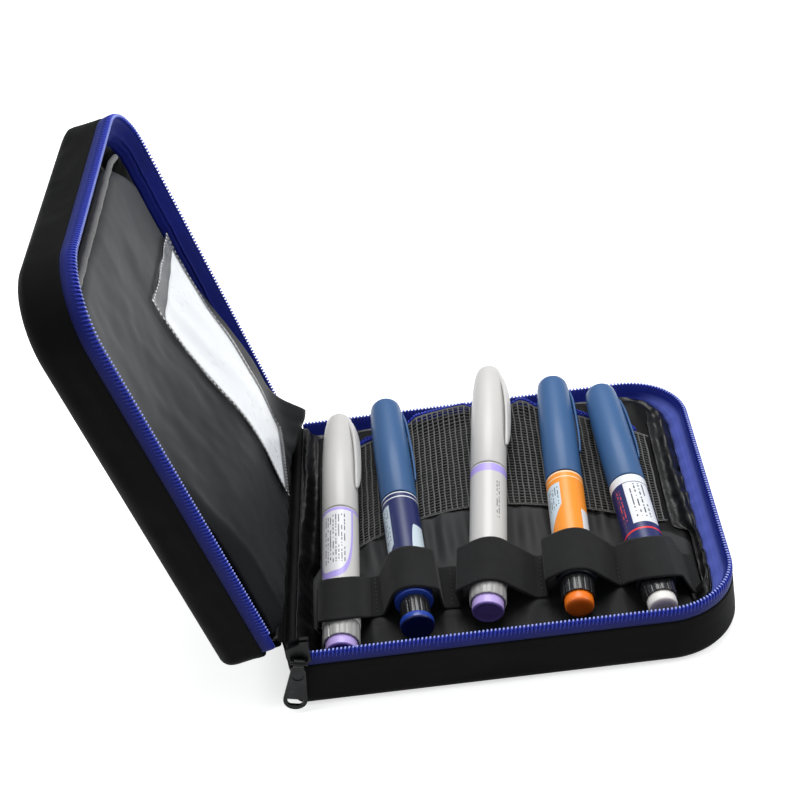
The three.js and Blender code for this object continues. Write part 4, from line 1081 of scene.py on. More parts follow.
def strap_line(y):
    """The strap's line that is sewn down at y: an arch over each pen, and flat between them."""
    radius, width = STRAP["radius"], STRAP["back"] - STRAP["front"]

    def around(number, out, up):
        at = y - ARCHES[number][0] * (1 + up) / 2 * width
        cx, cz = pen_centre(PENS[number], at)
        return cx + out * radius, at, cz + up * radius

    points = [strap_foot(0, 0, y, STRAP["hinge_tail"])]
    for number, (_, _, _, shoulders) in enumerate(ARCHES):
        left, right = (math.acos(1 / math.hypot(*s)) + math.atan2(s[1], s[0]) for s in shoulders)
        points += [strap_foot(number, 0, y), around(number, -shoulders[0][0], shoulders[0][1])]
        for share in np.linspace(0, 1, 15):
            angle = mix(math.pi - left, right, share)
            points.append(around(number, math.cos(angle), math.sin(angle)))
        points += [around(number, *shoulders[1]), strap_foot(number, 1, y)]
    points.append(strap_foot(len(PENS) - 1, 1, y, STRAP["free_tail"]))
    line = np.array(points, float)
    steps = np.r_[0, np.cumsum(np.linalg.norm(np.diff(line, axis=0), axis=1))]
    even = np.linspace(0, steps[-1], STRAP_POINTS)
    line = np.stack([np.interp(even, steps, line[:, i]) for i in range(3)], 1)
    relaxed(line, 7)
    return line, even


def pen_strap():
    """The elastic strap, with a slight ripple where it is sewn down."""
    ys = np.linspace(STRAP["front"], STRAP["back"], 26)
    lines = [strap_line(y) for y in ys]
    points = np.array([line for line, _ in lines])
    points[..., 2] += np.clip(lumps(points, (16, 12, 40), 5.8) * 0.35, -0.1, 0.3)
    made = surface("pen_strap_elastic", points, lines[0][1][None], ys[:, None] - ys[0])
    return thicken(made, STRAP["thickness"] * 0.85, 0.0), flat_size(points)


def strap_stitches():
    """Sewing across the strap between the pens."""
    parts = []
    for number in range(4):
        for y in np.arange(STRAP["front"] + 1.5, STRAP["back"] - 1, 2.6):
            ends = [strap_foot(number, 1, y), strap_foot(number + 1, 0, y)]
            x = (ends[0][0] + ends[1][0]) / 2
            line = [(x, y + dy, float(resting_height(x, y + dy)) + lift)
                    for dy, lift in ((0, -0.35), (0.5, 0.25), (1.3, 0.25), (1.8, -0.35))]
            parts.append(tube(line, 0.2, 5))
    points, faces = joined(parts)
    return mesh_object("strap_stitches", points, faces)


def hinge_roll(name, height, matrix):
    """The covered roll that closes a wall along the hinge."""
    y = np.linspace(-DEPTH / 2 + 6, DEPTH / 2 - 6, 110)
    section = [(0.35, -9), (0.3, -5.5), (0.3, -2.4), (0.7, -1.2), (1.6, -0.7),
               (3.2, -0.7), (4.3, -1.2), (4.9, -2.4), (5.1, -5), (5.4, -9)]
    rows = []
    for inset, drop in section:
        at = np.column_stack([np.full(len(y), inset - WIDTH / 2), y, np.full(len(y), height + drop)])
        at[:, 2] += lumps(at, (10, 14, 10), 3.9) * 0.45
        rows.append(at)
    v = np.arange(len(section))[:, None] * 1.8
    return thicken(surface(name, np.array(rows), y[None], v, False, matrix, flip=True), 0.4)


def hinge_spine():
    """The outer fabric of the hinge, from the base's wall up onto the lid's."""
    y = np.linspace(-DEPTH / 2 + 8, DEPTH / 2 - 8, 90)
    cos, sin = math.cos(OPEN), math.sin(OPEN)
    stands = [(0.85, 3), (0.85, 6), (0.75, 9), (0.4, 12)]
    base = [(-out, -along) for out, along in reversed(stands)]
    corner = [(-1.0, -0.9), (-1.15, 0.3), (-1.6, 1.2)]
    lid = [(-out * cos - along * sin, -out * sin + along * cos) for out, along in stands]
    section = base + corner + lid
    rows = []
    for x, z in section:
        at = np.column_stack([np.full(len(y), x - WIDTH / 2), y, np.full(len(y), z + BASE)])
        at[:, 0] -= np.maximum(0, lumps(at, (10, 18, 10), 8.8)) * 0.5
        rows.append(at)
    rows = np.array(rows)
    made = surface("hinge_fabric", rows, y[None], np.arange(len(section))[:, None] * 2.0)
    return thicken(made, 0.5, 1.0), flat_size(rows)


# Pens


def turned(name, profile, sides=72, matrix=None, bend=None):
    """A form turned about the pen's axis, from pairs of radius and distance along it. Its UV is degrees round
    it, from the top, and millimetres along it."""
    radii = np.array([p[0] for p in profile], float)[:, None]
    along = np.array([p[1] for p in profile], float)[:, None]
    angles = np.arange(sides) / sides * TURN
    if bend is not None:
        radii = bend(angles, radii)
    points = np.stack([radii * np.sin(angles), along + 0 * angles, radii * np.cos(angles)], -1)
    degrees = np.arange(sides + 1) / sides * 360.0
    return surface(name, points, degrees[None], along, True, matrix)


CORNER_POINTS = 4  # on a profile's rounded corner


def rounded(profile, bend=0.35):
    """Rounds a profile's corners."""
    out = [profile[0]]
    for before, here, after in zip(profile, profile[1:], profile[2:]):
        here, before, after = map(np.array, (here, before, after))
        reach = [min(bend, np.linalg.norm(other - here) / 2.2) for other in (before, after)]
        if min(reach) < 1e-6:
            out.append(tuple(here))
            continue
        start = here + (before - here) / np.linalg.norm(before - here) * reach[0]
        end = here + (after - here) / np.linalg.norm(after - here) * reach[1]
        for share in np.linspace(0, 1, CORNER_POINTS):
            out.append(tuple(mix(mix(start, here, share), mix(here, end, share), share)))
    out.append(profile[-1])
    return out


# How each style of cap rounds off: its radius as a share of the pen's, and how far from the cap's end
CAP_ENDS = {
    "grey": [(0.55, 0.5), (0.66, 1.2), (0.74, 3), (0.84, 8), (0.91, 14), (0.955, 22), (0.985, 30), (1, 38)],
    "blue": [(0.6, 0.45), (0.76, 1), (0.84, 2.2), (0.885, 4.5), (0.93, 9), (0.965, 16), (0.985, 24), (1, 34)],
}


def cap_profile(form, end):
    length, start, bore = form["length"], form["cap"] + 0.3, PEN_RADIUS - 1.35
    outer = [(share * PEN_RADIUS, length - back) for share, back in reversed(end)]
    inside = [(0.01, length - 3.6), (4.3, length - 3.6), (6.9, 142.1), (bore, 134), (bore, start + 0.2)]
    rim = [(bore, start + 0.2), (bore + 0.2, start), (PEN_RADIUS - 0.2, start), (PEN_RADIUS, start + 0.3)]
    return [*rim, *outer, (1.2, length - 0.04), (0.2, length), (0.01, length), *inside]


# Sections of each clip along its cap: distance along, inner radius, thickness and width
CLIPS = {
    "grey": [(157.5, 4.6, 1.6, 3.6), (155, 5.8, 2.0, 5.0), (150, 7.3, 2.1, 5.7), (143, 9.0, 1.9, 5.9),
             (134, 9.9, 1.7, 5.7), (124, 10.2, 1.5, 5.2), (116, 10.0, 1.5, 4.4), (111, 9.6, 1.5, 3.0),
             (108.6, 9.35, 1.2, 1.2)],
    "blue": [(149.5, 6.9, 1.0, 3.0), (146, 7.9, 1.3, 4.2), (140, 8.75, 1.5, 4.8), (131, 9.2, 1.4, 4.8),
             (121, 9.5, 1.3, 4.6), (112, 9.55, 1.2, 4.2), (106, 9.4, 1.1, 3.4), (102.7, 9.2, 0.9, 2.0)],
}


def cap_clip(sections, tip):
    """The clip's points and faces, standing on the cap's right side. tip is where it ends."""
    knots = np.array(sections)
    root, end = knots[0, 0], knots[-1, 0]
    knots[:, 0] = root + (knots[:, 0] - root) * (root - tip) / (root - end)
    share = np.linspace(0, 1, len(knots))
    fine = np.linspace(0, 1, 40)
    along, inner, thick, wide = (np.interp(fine, share, knots[:, i]) for i in range(4))
    for array in (along, inner, thick, wide):
        relaxed(array, 3)
    sides = 14
    angles = np.arange(sides) / sides * TURN
    out, side = (np.sign(value) * np.abs(value) ** 0.6 for value in (np.cos(angles), np.sin(angles)))
    x = (inner + thick / 2)[:, None] + (thick / 2)[:, None] * out
    z = (wide / 2)[:, None] * side
    points = np.stack([x, along[:, None] + 0 * x, z], -1).reshape(-1, 3)
    near, far = ends_of(sides, len(along))
    faces = grid_faces(len(along), sides, True).tolist() + [near[::-1], far]
    return points, faces


def pen_cap(number, pen):
    form = KINDS[pen["kind"]]
    place = pen_matrix(pen) @ Matrix.Rotation(-math.radians(pen["turn"]), 4, "Y")
    made = turned(f"pen_{number}_cap_shell", cap_profile(form, CAP_ENDS[form["style"]]), 80, place)
    points, faces = cap_clip(CLIPS[form["style"]], form["clip"])
    uvs = [(0.0, points[k][1]) for face in faces for k in face]
    return made, mesh_object(f"pen_{number}_clip", points, faces, uvs, place)


def pen_barrel(number, pen):
    """The barrel: its front collar, the seat of the label and the spigot that the cap slides onto."""
    cap = KINDS[pen["kind"]]["cap"]
    profile = rounded([(5.9, 15.5), (8.75, 15.5), (PEN_RADIUS, 15.9), (PEN_RADIUS, 21.6), (8.4, 21.7),
                       (8.4, cap - 0.3), (7.35, cap), (7.35, cap + 8), (0.01, cap + 8)], 0.2)
    return turned(f"pen_{number}_body", profile, 72, pen_matrix(pen))


def pen_label(number, pen):
    """The printed sleeve's shape, with rows between its ends for its UV."""
    start, end = LABEL_START + 0.1, KINDS[pen["kind"]]["cap"] - 0.65
    profile = rounded([(8.5, start), (PEN_RADIUS, start), (PEN_RADIUS, end), (8.5, end)], 0.12)
    middle = [(PEN_RADIUS, y) for y in np.linspace(start + 1, end - 1, 12)]
    half = len(profile) // 2
    return turned(f"pen_{number}_print", profile[:half] + middle + profile[half:], 96, pen_matrix(pen))


def pen_holder(number, pen):
    """The clear cartridge holder, with a thread on its neck."""
    start = KINDS[pen["kind"]]["cap"] + 8.4
    neck = [(4 - 0.18 * (k % 2), 142.6 + k * 0.6) for k in range(9)]
    profile = [(0.01, start), (6.3, start), (6.4, start + 0.4), (6.4, 139.8), *neck, (3.8, 148), (0.01, 148)]
    return turned(f"pen_{number}_holder", profile, 48, pen_matrix(pen))


def pen_drive(number, pen):
    """The dose drive, with the fine thread that winds it out of the barrel."""
    thread = [(5.5 - 0.12 * (k % 2), 17 + k) for k in range(40)]
    profile = [(2.85, 12), (2.85, 11.3), (5.4, 11.3), (5.5, 11.6), *thread, (5.5, 58), (0.01, 58)]
    return turned(f"pen_{number}_drive", profile, 48, pen_matrix(pen))


def pen_knob(number, pen):
    """The dose knob: broad facets on the grey pens, ribs on the others, and a pointer notch on the first."""
    form = KINDS[pen["kind"]]
    count, depth, sharpness = (16, 0.2, 0.9) if form["style"] == "grey" else (14, 0.4, 0.35)

    def ribs(angles, radii):
        cut = depth * (1 - np.abs(np.sin(angles * count / 2)) ** sharpness)
        if number == 1:
            cut = cut + 0.8 * np.exp(-(((angles - math.radians(327)) / 0.045) ** 2))
        return radii - cut * (radii > form["knob"] - 0.6)

    skirted = pen["kind"] == "blue"
    start, pocket = (3.9, 2.9) if skirted else (5.5, form["button"] + 0.35)
    profile = [(pocket, 9.2), (pocket, start), (form["knob"] - 0.05, start), (form["knob"], 14.9), (5.95, 15),
               (5.95, 11)]
    return turned(f"pen_{number}_knob", rounded(profile, 0.4), count * 12, pen_matrix(pen), ribs)


def pen_button(number, pen):
    """The dose button: slightly domed, or flat with a fine rim. The second one has a skirt over its knob."""
    kind = pen["kind"]
    r = KINDS[kind]["button"]
    if kind in ("orange", "navy"):
        middle = [(0.01, 0.1), (2.5, 0.08)]
        edge = [(2.4, 0.12), (1.2, 0.3), (0.5, 0.75), (0.1, 1.4), (0, 2.2)]
    else:
        middle = [(0.01, 0.45)]
        edge = [(2.4, 0.4), (1.5, 0.3), (1.1, 0.06), (0.6, 0.05), (0.15, 0.4), (0, 0.9)]
    face = middle + [(r - inset, along) for inset, along in edge]
    deep = 3.8 if kind == "blue" else 7.0
    skirt = [(7.3, deep), (7.3, 1.7), (2.4, 1.7)] if kind == "blue" else [(2.4, deep)]
    profile = [*face, (r, deep - 0.2), (r - 0.1, deep), *skirt, (2.4, 10.8), (0.01, 10.8)]
    return turned(f"pen_{number}_push", profile, 64, pen_matrix(pen))


def turned_by(degrees, centre):
    """How far a place round the pen lies from a centre, from -180 to 180 degrees."""
    return (degrees - centre + 540.0).math("MODULO", 360.0) - 180.0


def panel_mask(degrees, along, centre, half, low, high, slant=0.0, corner=0.0):
    """A printed panel: its centre and half width in degrees round the pen, and its reach along it. A slant or
    a round corner takes some off one end."""
    side = turned_by(degrees, centre)
    top = along + ((side * -1.0 - (half - corner)).most(0.0) ** 2.0) * (1.0 / max(corner, 1.0)) * (corner > 0)
    across = 1.0 - side.size().over(half, 1.5)
    return across * (along + side * slant).over(low, 0.3) * (1.0 - top.over(high, 0.3))


def print_bars(look, degrees, along, centre, half, low, high, pitch):
    """Rows of short bars, where the real label has its print."""
    side = turned_by(degrees, centre)
    spot = look.node("ShaderNodeCombineXYZ", {0: along * 0.55, 1: (side / pitch).math("FLOOR") * 7.3})
    words = look.node("ShaderNodeTexNoise", {"Vector": spot, "Scale": 1.0, "Detail": 0.0})
    lines = (side / pitch).fract().between(0.3, 0.62, 0.08)
    return panel_mask(degrees, along, centre, half, low, high) * lines * words.over(0.47, 0.04)


LABEL_GROUNDS = {
    "grey": (0.64, 0.63, 0.61),
    "blue": (0.014, 0.022, 0.115),
    "orange": (0.95, 0.31, 0.025),
    "navy": (0.012, 0.02, 0.12),
}
LABEL_GROUNDS["plain"] = LABEL_GROUNDS["grey"]


def label_look(kind):
    """The printed sleeve: bands, panels and bars, with no words."""
    colour = LABEL_GROUNDS[kind]
    look = Look(f"label_{kind}", colour, specular_ior_level=0.45, coat_roughness=0.15)
    degrees, along = look.cloth_place()
    white, pale, lilac, ink = (0.8, 0.82, 0.85), (0.62, 0.73, 0.8), (0.47, 0.38, 0.86), (0.05, 0.055, 0.09)

    def paint(over, share):
        nonlocal colour
        colour = look.blend(colour, over, share)

    def ring(over, low, high):
        paint(over, along.between(low, high, 0.25))

    def bars(over, *area):
        paint(over, print_bars(look, degrees, along, *area))

    def panel(over, *area):
        paint(over, panel_mask(degrees, along, *area))

    if kind == "grey":
        bow = ((turned_by(degrees, 0.0) + 18.0) / 73.0).size() ** 3.0
        edge = ((along - 84.0) / -46.3).most(0.0) ** 3.0 + bow
        paint(lilac, edge.between(0.62, 0.84, 0.04) * (1.0 - along.over(85.5)))
        paint((0.8, 0.8, 0.82), (1.0 - edge.over(0.62, 0.04)) * (1.0 - along.over(84.9)))
        bars(ink, 350.0, 34.0, 50.0, 82.0, 9.0)
        ring(lilac, 84.9, 86.8)
    if kind == "plain":
        ring(lilac, 81.8, 86.6)
        bars((0.03, 0.03, 0.035), 38.0, 8.0, 52.0, 76.0, 7.5)
    if kind == "blue":
        ring(white, 80.9, 81.6)
        ring(white, 78.0, 78.7)
        panel(pale, 303.0, 21.0, 44.0, 75.0, -0.2)
        panel(pale, 50.0, 27.0, 22.0, 59.5, 0.0, 14.0)
        bars(ink, 303.0, 13.0, 50.0, 73.0, 8.0)
    if kind == "orange":
        cream = (0.9, 0.72, 0.5)
        ring(cream, 80.7, 81.6)
        ring(cream, 77.5, 78.1)
        panel(pale, 310.0, 33.0, 50.0, 74.5, -0.3)
        panel(white, 64.0, 20.0, 22.0, 57.0)
        bars(ink, 312.0, 24.0, 58.0, 72.0, 9.0)
    if kind == "navy":
        ring(white, 76.7, 81.9)
        panel(white, 20.0, 44.0, 48.5, 76.2)
        bars(ink, 16.0, 32.0, 52.0, 75.0, 14.0)
        ring((0.8, 0.03, 0.035), 43.9, 45.0)
        bars((0.75, 0.06, 0.08), 314.0, 10.0, 52.0, 73.0, 10.0)
    worn = look.noise(60, 3.0)
    look.set("Base Color", colour).set("Roughness", worn * 0.15 + 0.27).set("Coat Weight", worn * 0.3)
    return look.bump(worn, 0.05)


# Settings, operators and panel


def length(name, description, default, low, high):
    return bpy.props.FloatProperty(
        name=name, description=description, default=default, min=low, max=high, precision=5, unit="LENGTH"
    )


def colour(name, description, default):
    return bpy.props.FloatVectorProperty(
        name=name, description=description, default=default, min=0.0, max=1.0, size=3, subtype="COLOR"
    )


def level(name, description, default, **limits):
    return bpy.props.FloatProperty(name=name, description=description, default=default, min=0.0, **limits)


class CaseSettings(bpy.types.PropertyGroup):
    tape: colour("Tape", "Colour of the zip's tape", (0.008, 0.018, 0.26))
    blue_caps: colour("Blue caps", "Colour of the blue pens' caps", (0.037, 0.115, 0.28))
    grey_caps: colour("Grey caps", "Colour of the grey pens' caps", (0.65, 0.64, 0.62))
    tooth_pitch: length("Tooth pitch", "Distance between turns of the coil", 0.00182, 0.001, 0.004)
    base_slack: length("Base slack", "How far the base's cloth stands proud", 0.00075, 0.0, 0.003)
    lid_slack: length("Lid slack", "How far the lid's cloth stands proud", 0.0013, 0.0, 0.003)
    net_column: length("Strand spacing", "Distance between strands of the net", 0.0028, 0.002, 0.008)
    net_rung: length("Rung spacing", "Distance between rungs of the net", 0.0019, 0.001, 0.006)


class StageSettings(bpy.types.PropertyGroup):
    key: level("Key lamp", "Power of the lamp overhead", 11.0, unit="POWER")
    fill: level("Side lamps", "Power of the lamps at both sides", 3.5, unit="POWER")
    sky: level("Sky", "Strength of the even light all round", 0.4, subtype="FACTOR")
    glow: level("Floor glow", "How far the floor lightens its own shadows", 0.62, max=1.0, subtype="FACTOR")


class CASE_OT_shells(bpy.types.Operator):
    """Builds the outer fabric of base and lid, and the fabric of the hinge"""

    bl_idname = "cooling_case.shells"
    bl_label = "Outer Fabric"

    def execute(self, context):
        case = context.scene.cooling_case
        look = nylon("shell_nylon", (0.0024, 0.0024, 0.0026), 0.8, 0.05, 0.62, 0.5)
        base = shell_half("base_fabric", BASE, BASE_EDGE, None, case.base_slack / MM)
        dress(base, look, "base", "shell", "base_shell", "base_foam")
        lid = shell_half("lid_fabric", LID, LID_EDGE, lid_matrix(), case.lid_slack / MM)
        dress(lid, look, "lid", "shell", "lid_shell", "lid_foam")
        spine, size = hinge_spine()
        spine.data.materials.append(look.material)
        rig.blend(spine, "base", "lid", start=(-0.1035, 0, 0.029), end=(-0.106, 0, 0.034))
        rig.slot(spine, "shell")
        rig.replaces(spine, "hinge_spine")
        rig.sheet(spine, held="folded", rests_on=["base_fabric", "lid_fabric"], **size)
        return {"FINISHED"}


class CASE_OT_zip_rows(bpy.types.Operator):
    """Builds the zip's tapes and its two rows of teeth"""

    bl_idname = "cooling_case.zip_rows"
    bl_label = "Zip Rows"

    def execute(self, context):
        case = context.scene.cooling_case
        pitch = case.tooth_pitch / MM
        tape, teeth = tape_look(tuple(case.tape)), teeth_look()
        halves = (("base", BASE, None, 0.0, 1.0), ("lid", LID, lid_matrix(), LID_SKIRT, 8.5))
        for body, height, matrix, skirt, start in halves:
            made = zip_tape(f"{body}_tape", height, matrix, skirt)
            dress(made, tape, body, "zip_tape", f"{body}_zip_tape")
        for body, height, matrix, skirt, start in halves:
            made = zip_teeth(f"{body}_teeth", height, matrix, pitch, start)
            dress(made, teeth, body, "zip_coil", f"{body}_zip_teeth")
        return {"FINISHED"}


class CASE_OT_liners(bpy.types.Operator):
    """Builds the linings inside the walls and the covered rolls along the hinge"""

    bl_idname = "cooling_case.liners"
    bl_label = "Liners"

    def execute(self, context):
        look = liner_look()
        for body, maker in (("base", base_liner), ("lid", lid_liner)):
            made, size = maker()
            dress(made, look, body, "liner", f"{body}_lining")
            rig.sheet(made, held="gathered", rests_on=[f"{body}_tape"], **size)
        cloth = nylon("hinge_nylon", (0.003, 0.003, 0.0034), 0.9, 0.08, 0.5, 0.6)
        for body, height, matrix in (("base", BASE, None), ("lid", LID, lid_matrix())):
            roll = hinge_roll(f"{body}_hinge_roll", height, matrix)
            dress(roll, cloth, body, "liner", f"{body}_hinge_binding")
        return {"FINISHED"}


def pad_look():
    """The pad's nylon, with painted shade towards the front under the strap, and black under the net."""
    look = nylon("pad_nylon", (0.029, 0.0295, 0.0305), 0.75, 0.16, 0.5, 0.35)
    u, v = look.cloth_place()
    under = (v - 7.5 + (u + 15.0) * (u + 15.0) * 0.0034).over(0.0, 1.5)
    # painted shade: the pad darkens towards the front, under the strap and in front of it
    shade = look.blend((0.009, 0.0092, 0.0095), look.colour(), look.ramp(v, -62.0, -20.0))
    look.set("Base Color", look.blend(shade, (0.0015, 0.0015, 0.0015), under))
    return look


def lid_pad_look():
    """The lid panel's nylon, with painted light: dark near the hinge and lighter towards its open end."""
    look = nylon("lid_nylon", (0.0065, 0.007, 0.008), 0.75, 0.1, 0.5, 0.25)
    # painted light: the panel lightens from its hinge end towards its open end
    painted_light_to_end = look.ramp(look.cloth_place()[0], -50.0, 90.0)
    return look.set("Base Color", look.blend(look.colour(), (0.062, 0.064, 0.067), painted_light_to_end))


class CASE_OT_pads(bpy.types.Operator):
    """Builds the pad under the pens, and the lid's panel with its bound edge"""

    bl_idname = "cooling_case.pads"
    bl_label = "Pads"

    def execute(self, context):
        made = dress(pen_pad(), pad_look(), "base", "nylon", "pen_panel", "base_gel_pack")
        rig.padded(made, fill=0.5)
        made = dress(lid_pad(), lid_pad_look(), "lid", "nylon", "lid_panel", "lid_gel_pack")
        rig.padded(made, fill=0.7)
        squash_into_lid(made)
        binding = thread_look("welt_grey", (0.09, 0.09, 0.088), 0.6)
        squash_into_lid(dress(pocket_welt(), binding, "lid", "nylon", "lid_pocket_binding"))
        return {"FINISHED"}


class CASE_OT_net(bpy.types.Operator):
    """Builds the net pocket and its own zip"""

    bl_idname = "cooling_case.net"
    bl_label = "Net Pocket"

    def execute(self, context):
        case = context.scene.cooling_case
        made, size = pen_net(case.net_column / MM, case.net_rung / MM)
        dress(made, thread_look("net_grey", (0.07, 0.07, 0.067), 0.45), "base", "net", "mesh_pocket")
        tape, coil = pocket_zip()
        dress(tape, bpy.data.materials["zip_tape_blue"], "base", "zip_coil")
        dress(coil, bpy.data.materials["zip_teeth_blue"], "base", "zip_coil", "pocket_zip")
        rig.sheet(made, held="stretched", rests_on=["pen_pad"], **size)
        return {"FINISHED"}


class CASE_OT_strap(bpy.types.Operator):
    """Builds the elastic strap over the pens and its sewing"""

    bl_idname = "cooling_case.strap"
    bl_label = "Elastic Strap"

    def execute(self, context):
        made, size = pen_strap()
        dress(made, elastic_look(), "base", "elastic", "pen_strap")
        stitches = strap_stitches()
        dress(stitches, thread_look("thread_black", (0.012, 0.012, 0.0125)), "base", "elastic")
        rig.sheet(made, held="stretched", rests_on=["pen_pad"], with_pieces=[stitches], **size)
        return {"FINISHED"}


def card_look():
    """Glossy white card with faint ruled lines."""
    look = Look("card_white", (0.88, 0.89, 0.9), specular_ior_level=0.5)
    u, v = look.cloth_place()
    grain = look.noise(120, 3.0)
    lines = (v / 9.0).fract().between(0.42, 0.47, 0.02) * u.between(14.0, 96.0, 0.5)
    look.set("Base Color", look.blend((0.88, 0.895, 0.905), (0.7, 0.73, 0.78), lines * 0.35 + grain * 0.1))
    return look.set("Roughness", grain * 0.15 + 0.22).bump(look.noise(20, 2.0) + grain * 0.1, 0.4)


def squash_into_lid(made):
    """Presses a soft piece into the lid as the lid shuts on the pens."""
    place = lid_matrix()
    up = place.to_3x3() @ Vector((0, 0, 1))
    floor = place @ Vector((0, 0, LID_FLOOR)) * MM
    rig.squash(made, "lid_hinge", axis=tuple(up), anchor=tuple(floor), keep=0.12)


def film_look():
    """Clear film with a grey border, sewn down with dark and pale stitches."""
    look = Look("window_film", (0.75, 0.78, 0.8), specular_ior_level=0.5)
    u, v = look.cloth_place()
    seam_u, seam_v = (u - 59.0).size(), (v - 30.0).size()
    border = seam_u.over(56.9, 0.2).most(seam_v.over(27.4, 0.2))
    dash = (u / 2.6).fract().between(0.15, 0.65, 0.1) * seam_v.between(28.2, 29.0, 0.15)
    dash = dash.most((v / 2.6).fract().between(0.15, 0.65, 0.1) * seam_u.between(57.6, 58.4, 0.15))
    edge = look.blend((0.24, 0.25, 0.26), (0.006, 0.006, 0.007), look.noise(50, 3.0).over(0.42, 0.25))
    look.set("Base Color", look.blend(look.blend((0.8, 0.83, 0.86), edge, border), (0.75, 0.76, 0.78), dash))
    look.set("Roughness", look.noise(60, 3.0) * 0.12 + 0.08)
    return look.set("Alpha", border * 0.65 + dash * 0.25 + 0.1).bump(look.noise(25, 3.0), 0.5)


class CASE_OT_window(bpy.types.Operator):
    """Builds the card and the sewn film window over it"""

    bl_idname = "cooling_case.window"
    bl_label = "Card Window"

    def execute(self, context):
        for name, shape, look, slot, node in (
            ("card", (3.2, 0.9, 0.4, 5.0), card_look(), "card", "info_card"),
            ("clear_window", (0.0, 1.7, 0.4), film_look(), "window_film", "card_window"),
        ):
            made, size = window_sheet(name, *shape)
            dress(made, look, "lid", slot, node)
            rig.sheet(made, held="laid", rests_on=["lid_pad"], **size)
            squash_into_lid(made)
        return {"FINISHED"}


class CASE_OT_slider(bpy.types.Operator):
    """Gives the zip slider and its pull tab their lacquered metal"""

    bl_idname = "cooling_case.slider"
    bl_label = "Slider and Pull Tab"

    def execute(self, context):
        look = metal_look()
        for node in ("zip_slider", "pull_tab"):
            mesh = bpy.data.objects[node].data
            mesh.materials.clear()
            mesh.materials.append(look.material)
        return {"FINISHED"}


class CASE_OT_pens(bpy.types.Operator):
    """Builds the five insulin pens: caps, barrels, labels, holders, drives, knobs and buttons"""

    bl_idname = "cooling_case.pens"
    bl_label = "Insulin Pens"

    def execute(self, context):
        case = context.scene.cooling_case
        cap_blue = tuple(case.blue_caps)
        grey = plastic("pen_grey", tuple(case.grey_caps), 0.38)
        blue = plastic("pen_blue", cap_blue, 0.48)
        black = plastic("knob_black", (0.012, 0.012, 0.013), 0.26, 0.2)
        facets = plastic("knob_facets", (0.4, 0.395, 0.385), 0.3)
        white = plastic("drive_white", (0.75, 0.75, 0.74), 0.38)
        clear = Look("holder_clear", (0.85, 0.9, 0.92), specular_ior_level=0.5)
        clear.set("Roughness", clear.noise(50) * 0.1 + 0.06).set("Alpha", clear.noise(40) * 0.1 + 0.32)
        # painted shade: each button's end colour darkens its front face
        lilac = plastic("button_lilac", (0.56, 0.43, 0.86), 0.38, end=(0.13, 0.085, 0.32))
        buttons = {
            "grey": lilac,
            "plain": lilac,
            "blue": plastic("button_blue", (0.015, 0.055, 0.36), 0.3, end=(0.003, 0.008, 0.07)),
            "orange": plastic("button_orange", (0.95, 0.2, 0.01), 0.35, end=(0.7, 0.13, 0.01)),
            "navy": plastic("button_white", (0.84, 0.82, 0.78), 0.35, end=(0.52, 0.46, 0.45)),
        }
        bright = plastic("barrel_blue", cap_blue, 0.42, collar=(0.018, 0.055, 0.36))
        # painted shade: the orange and navy pens' collars are near black, for the shade under the strap's front edge
        shaded_collar = plastic("barrel_dark", cap_blue, 0.42, collar=(0.006, 0.007, 0.012))
        barrels = {"grey": grey, "plain": grey, "blue": bright, "orange": shaded_collar, "navy": shaded_collar}
        for number, pen in enumerate(PENS, 1):
            kind, body = pen["kind"], f"pen_{number}"
            broad = KINDS[kind]["style"] == "grey"
            shell, label, knob, button = KINDS[kind]["slots"]
            cap, clip = pen_cap(number, pen)
            dress(cap, grey if broad else blue, f"{body}_cap", shell, f"{body}_cap")
            dress(clip, grey if broad else blue, f"{body}_cap", shell)
            for maker, look, ride, slot, node in (
                (pen_barrel, barrels[kind], "", shell, "barrel"),
                (pen_label, label_look(kind), "", label, "label"),
                (pen_holder, clear, "", "clear_plastic", "cartridge_holder"),
                (pen_drive, white, "_drive", "white_plastic", "dose_drive"),
                (pen_knob, facets if broad else black, "_knob", knob, "dose_knob"),
                (pen_button, buttons[kind], "_button", button, "dose_button"),
            ):
                dress(maker(number, pen), look, body + ride, slot, f"{body}_{node}")
        return {"FINISHED"}


# The floor's radius in millimetres, and its level just under the case, in metres
FLOOR_RADIUS, FLOOR_LEVEL = 6000, -0.0004

CAMERA = dict(at=(0.6967, -664.04, 535.75), yaw=-0.0597388, pitch=0.5823397, roll=-0.1593093, focal=1706.54)


def photo_camera(scene):
    """The photograph's camera. focal is in pixels of an image 800 pixels wide."""
    yaw, pitch, roll = CAMERA["yaw"], CAMERA["pitch"], CAMERA["roll"]
    ahead = Vector((math.sin(yaw) * math.cos(pitch), math.cos(yaw) * math.cos(pitch), -math.sin(pitch)))
    right = Vector((math.cos(yaw), -math.sin(yaw), 0))
    up = right.cross(ahead)
    side = right * math.cos(roll) + up * math.sin(roll)
    top = up * math.cos(roll) - right * math.sin(roll)
    lens = bpy.data.cameras.new("camera")
    lens.sensor_width, lens.lens = 36.0, CAMERA["focal"] * 36.0 / 800.0
    lens.clip_start, lens.clip_end = 0.05, 20.0
    camera = bpy.data.objects.new("camera", lens)
    axes = Matrix((side, top, -ahead)).transposed().to_4x4()
    camera.matrix_world = Matrix.Translation(Vector(CAMERA["at"]) * MM) @ axes
    scene.collection.objects.link(camera)
    scene.camera = camera


